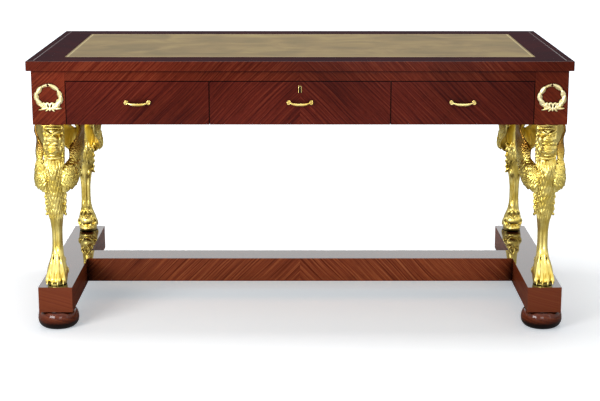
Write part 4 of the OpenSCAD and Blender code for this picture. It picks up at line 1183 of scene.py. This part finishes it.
bow = [strand([(BOW_X, 3, z, 2.6) for z in (-38, -34, -30)])]
turn = np.linspace(0, 2 * math.pi, 25)
across, up = LOOP_WIDE * np.cos(turn), LOOP_TALL * np.sin(turn)
for s in (-1, 1):
    lean = math.radians(-LOOP_LEAN * s)
    loop_x = BOW_X + s * LOOP_OFF + across * math.cos(lean) - up * math.sin(lean)
    loop_z = LOOP_Z + across * math.sin(lean) + up * math.cos(lean)
    bow.append(strand([(x, 2.2, z, LOOP_R) for x, z in zip(loop_x, loop_z)]))
    bow.append(strand([(BOW_X + s * x, 1.6, z, r) for x, z, r in BOW_ENDS]))
for first, last in ((-60, 86), (240, 94)):
    bow.append(strand([(STEM_RING * math.cos(a), 1.0, STEM_RING * math.sin(a), STEM_THICK)
                       for a in np.radians(np.linspace(first, last, 30))]))
print("strands of the bow and the stems", len(bow))

# %% Cast the wreath
wreath = join([leaves("leaves", LEAVES, 0.6), leaves("ribbons", RIBBONS, 0.2), rolls("bow", bow, sides=2)],
              "laurel_wreath_fl")
apply_modifier(wreath, "REMESH", mode="VOXEL", voxel_size=CASTING_GRAIN, adaptivity=0.0)
apply_modifier(wreath, "SMOOTH", factor=0.5, iterations=2)
alone(wreath)
bpy.ops.object.mode_set(mode="EDIT")
cut(FRIEZE_FRONT, True, normal=(0, 1, 0))
bpy.ops.object.mode_set(mode="OBJECT")
shade_smooth(60)
size = np.ptp([v.co for v in wreath.data.vertices], axis=0) / MM
print("wreath measures", np.round(size, 1), "mm and has", len(wreath.data.polygons), "faces")

for corner, (flip_x, flip_y) in CORNERS.items():
    placed = wreath
    if corner != "fl":
        placed = mirrored(wreath, f"laurel_wreath_{corner}", False, flip_y)
        placed.data.transform(Matrix.Translation((middle_of(f"wreath_{corner}")[0] - WREATH_AT.x, 0, 0)))
    dress(placed, f"wreath_{corner}", PALE_GILT)

# %% [markdown]
# ## Floor and light
# The desk was photographed on white with a broad soft light overhead, so its shadow falls only under it.
# A white floor keeps that shadow. The backdrop is plain white to the camera. What polished surfaces mirror
# is a studio: bright above and behind, dim round the camera, with low soft boxes in front and a tall strip
# light at the right that draw bright lines down the gold.

# %% Floor
FLOOR_SIZE = 60
MIRRORED_FLOOR = "#C8C8C8"
COOL_WHITE = (0.86, 0.93, 1.0, 1)
# For the camera the ground is lit on its own, more strongly farther off: distance in m, strength
LIT_FROM, LIT_TO = (1.3, 0.38), (2.6, 1.3)
bpy.ops.mesh.primitive_plane_add(size=FLOOR_SIZE, location=(0, 0, 0))
floor = bpy.context.object
floor.name = "floor"
floor_material, floor_nodes, floor_shader, floor_place = new_material(
    "white_studio_floor", Roughness=0.9, Specular_IOR_Level=0.0, Emission_Color=COOL_WHITE)
seen_by = add(floor_nodes, "ShaderNodeLightPath").node
# The camera sees the cut-out white of a catalogue picture; polished wood mirrors a grey studio floor
mirrored_in = seen_by.outputs["Is Glossy Ray"]
floor_colour = overlay(floor_nodes, linear("#FFFFFF"), linear(MIRRORED_FLOOR), mirrored_in, "MIX")
floor_nodes.links.new(floor_colour, floor_shader.inputs["Base Color"])
off = add(floor_nodes, "ShaderNodeVectorMath", {0: floor_place}, operation="LENGTH").node.outputs["Value"]
lit = add(floor_nodes, "ShaderNodeMapRange", {"Value": off, "From Min": LIT_FROM[0], "From Max": LIT_TO[0],
                                              "To Min": LIT_FROM[1], "To Max": LIT_TO[1]})
floor_nodes.links.new(math_node(floor_nodes, "MULTIPLY", seen_by.outputs["Is Camera Ray"], lit),
                      floor_shader.inputs["Emission Strength"])
floor.data.materials.append(floor_material)
print("floor is", FLOOR_SIZE, "m wide")

# %% Studio
# Brightness of the studio by direction, for diffuse light and for mirroring surfaces
AMBIENT = 0.24
MIRRORED = [(0.0, 1.0), (0.35, 0.9), (0.6, 1.1), (1.0, 1.5)]
DARK_BAND = (0.06, 0.05, 0.06, 1)

world = bpy.data.worlds.new("studio")
world.use_nodes = True
bpy.context.scene.world = world
studio = world.node_tree
sky = studio.nodes["Background"]
path = add(studio, "ShaderNodeLightPath").node
direction = add(studio, "ShaderNodeTexCoord").node.outputs["Generated"]
toward = add(studio, "ShaderNodeSeparateXYZ", {0: direction}).node
# 0 towards the camera, 1 away from it; high directions count as bright
away = math_node(studio, "MULTIPLY_ADD", toward.outputs[1], 0.5, 0.5)
bright = math_node(studio, "MAXIMUM", away, toward.outputs[2])
mirrored_level = ramp(studio, bright, MIRRORED)
# A dark band low behind the desk, which the polished top mirrors
low = add(studio, "ShaderNodeMapRange", {"Value": toward.outputs[2], "From Min": 0.16, "From Max": 0.22})
behind = math_node(studio, "GREATER_THAN", toward.outputs[1], 0.5)
dark = math_node(studio, "MULTIPLY", math_node(studio, "SUBTRACT", 1.0, low), behind)
above = math_node(studio, "GREATER_THAN", toward.outputs[2], 0.03)
dark = math_node(studio, "MULTIPLY", dark, above)
glossy_level = overlay(studio, mirrored_level, DARK_BAND, dark, "MIX")
soft_level = overlay(studio, (AMBIENT,) * 3 + (1,), glossy_level, path.outputs["Is Glossy Ray"], "MIX")
seen = overlay(studio, soft_level, (1, 1, 1, 1), path.outputs["Is Camera Ray"], "MIX")
studio.links.new(seen, sky.inputs["Color"])
sky.inputs["Strength"].default_value = 1.0


def soft_box(name, place, aim, size, radiance):
    """A rectangular lamp that faces a point. Its power follows from its size and how bright it looks."""
    bpy.ops.object.light_add(type="AREA", location=place)
    lamp = bpy.context.object
    lamp.name = name
    lamp.rotation_euler = (Vector(aim) - Vector(place)).to_track_quat("-Z", "Y").to_euler()
    lamp.data.shape = "RECTANGLE"
    lamp.data.size, lamp.data.size_y = size
    lamp.data.energy = radiance * math.pi * size[0] * size[1]


# A broad lamp overhead gives the shadow under the desk; the others draw the bright lines
soft_box("overhead_softbox", (0, 0.3, 3.0), (0, 0.0, 0.2), (2.4, 1.4), 6.0)
soft_box("key_softbox", (-2.2, -3.0, 1.1), (-0.4, -0.3, 0.45), (1.6, 1.2), 14.5)
soft_box("fill_softbox", (0.5, -3.8, 1.0), (0.2, -0.3, 0.45), (1.0, 1.0), 5.0)
soft_box("right_strip_light", (2.9, -2.6, 1.3), (0.6, -0.3, 0.4), (0.35, 2.0), 1.8)
bpy.context.scene.view_settings.view_transform = "Standard"
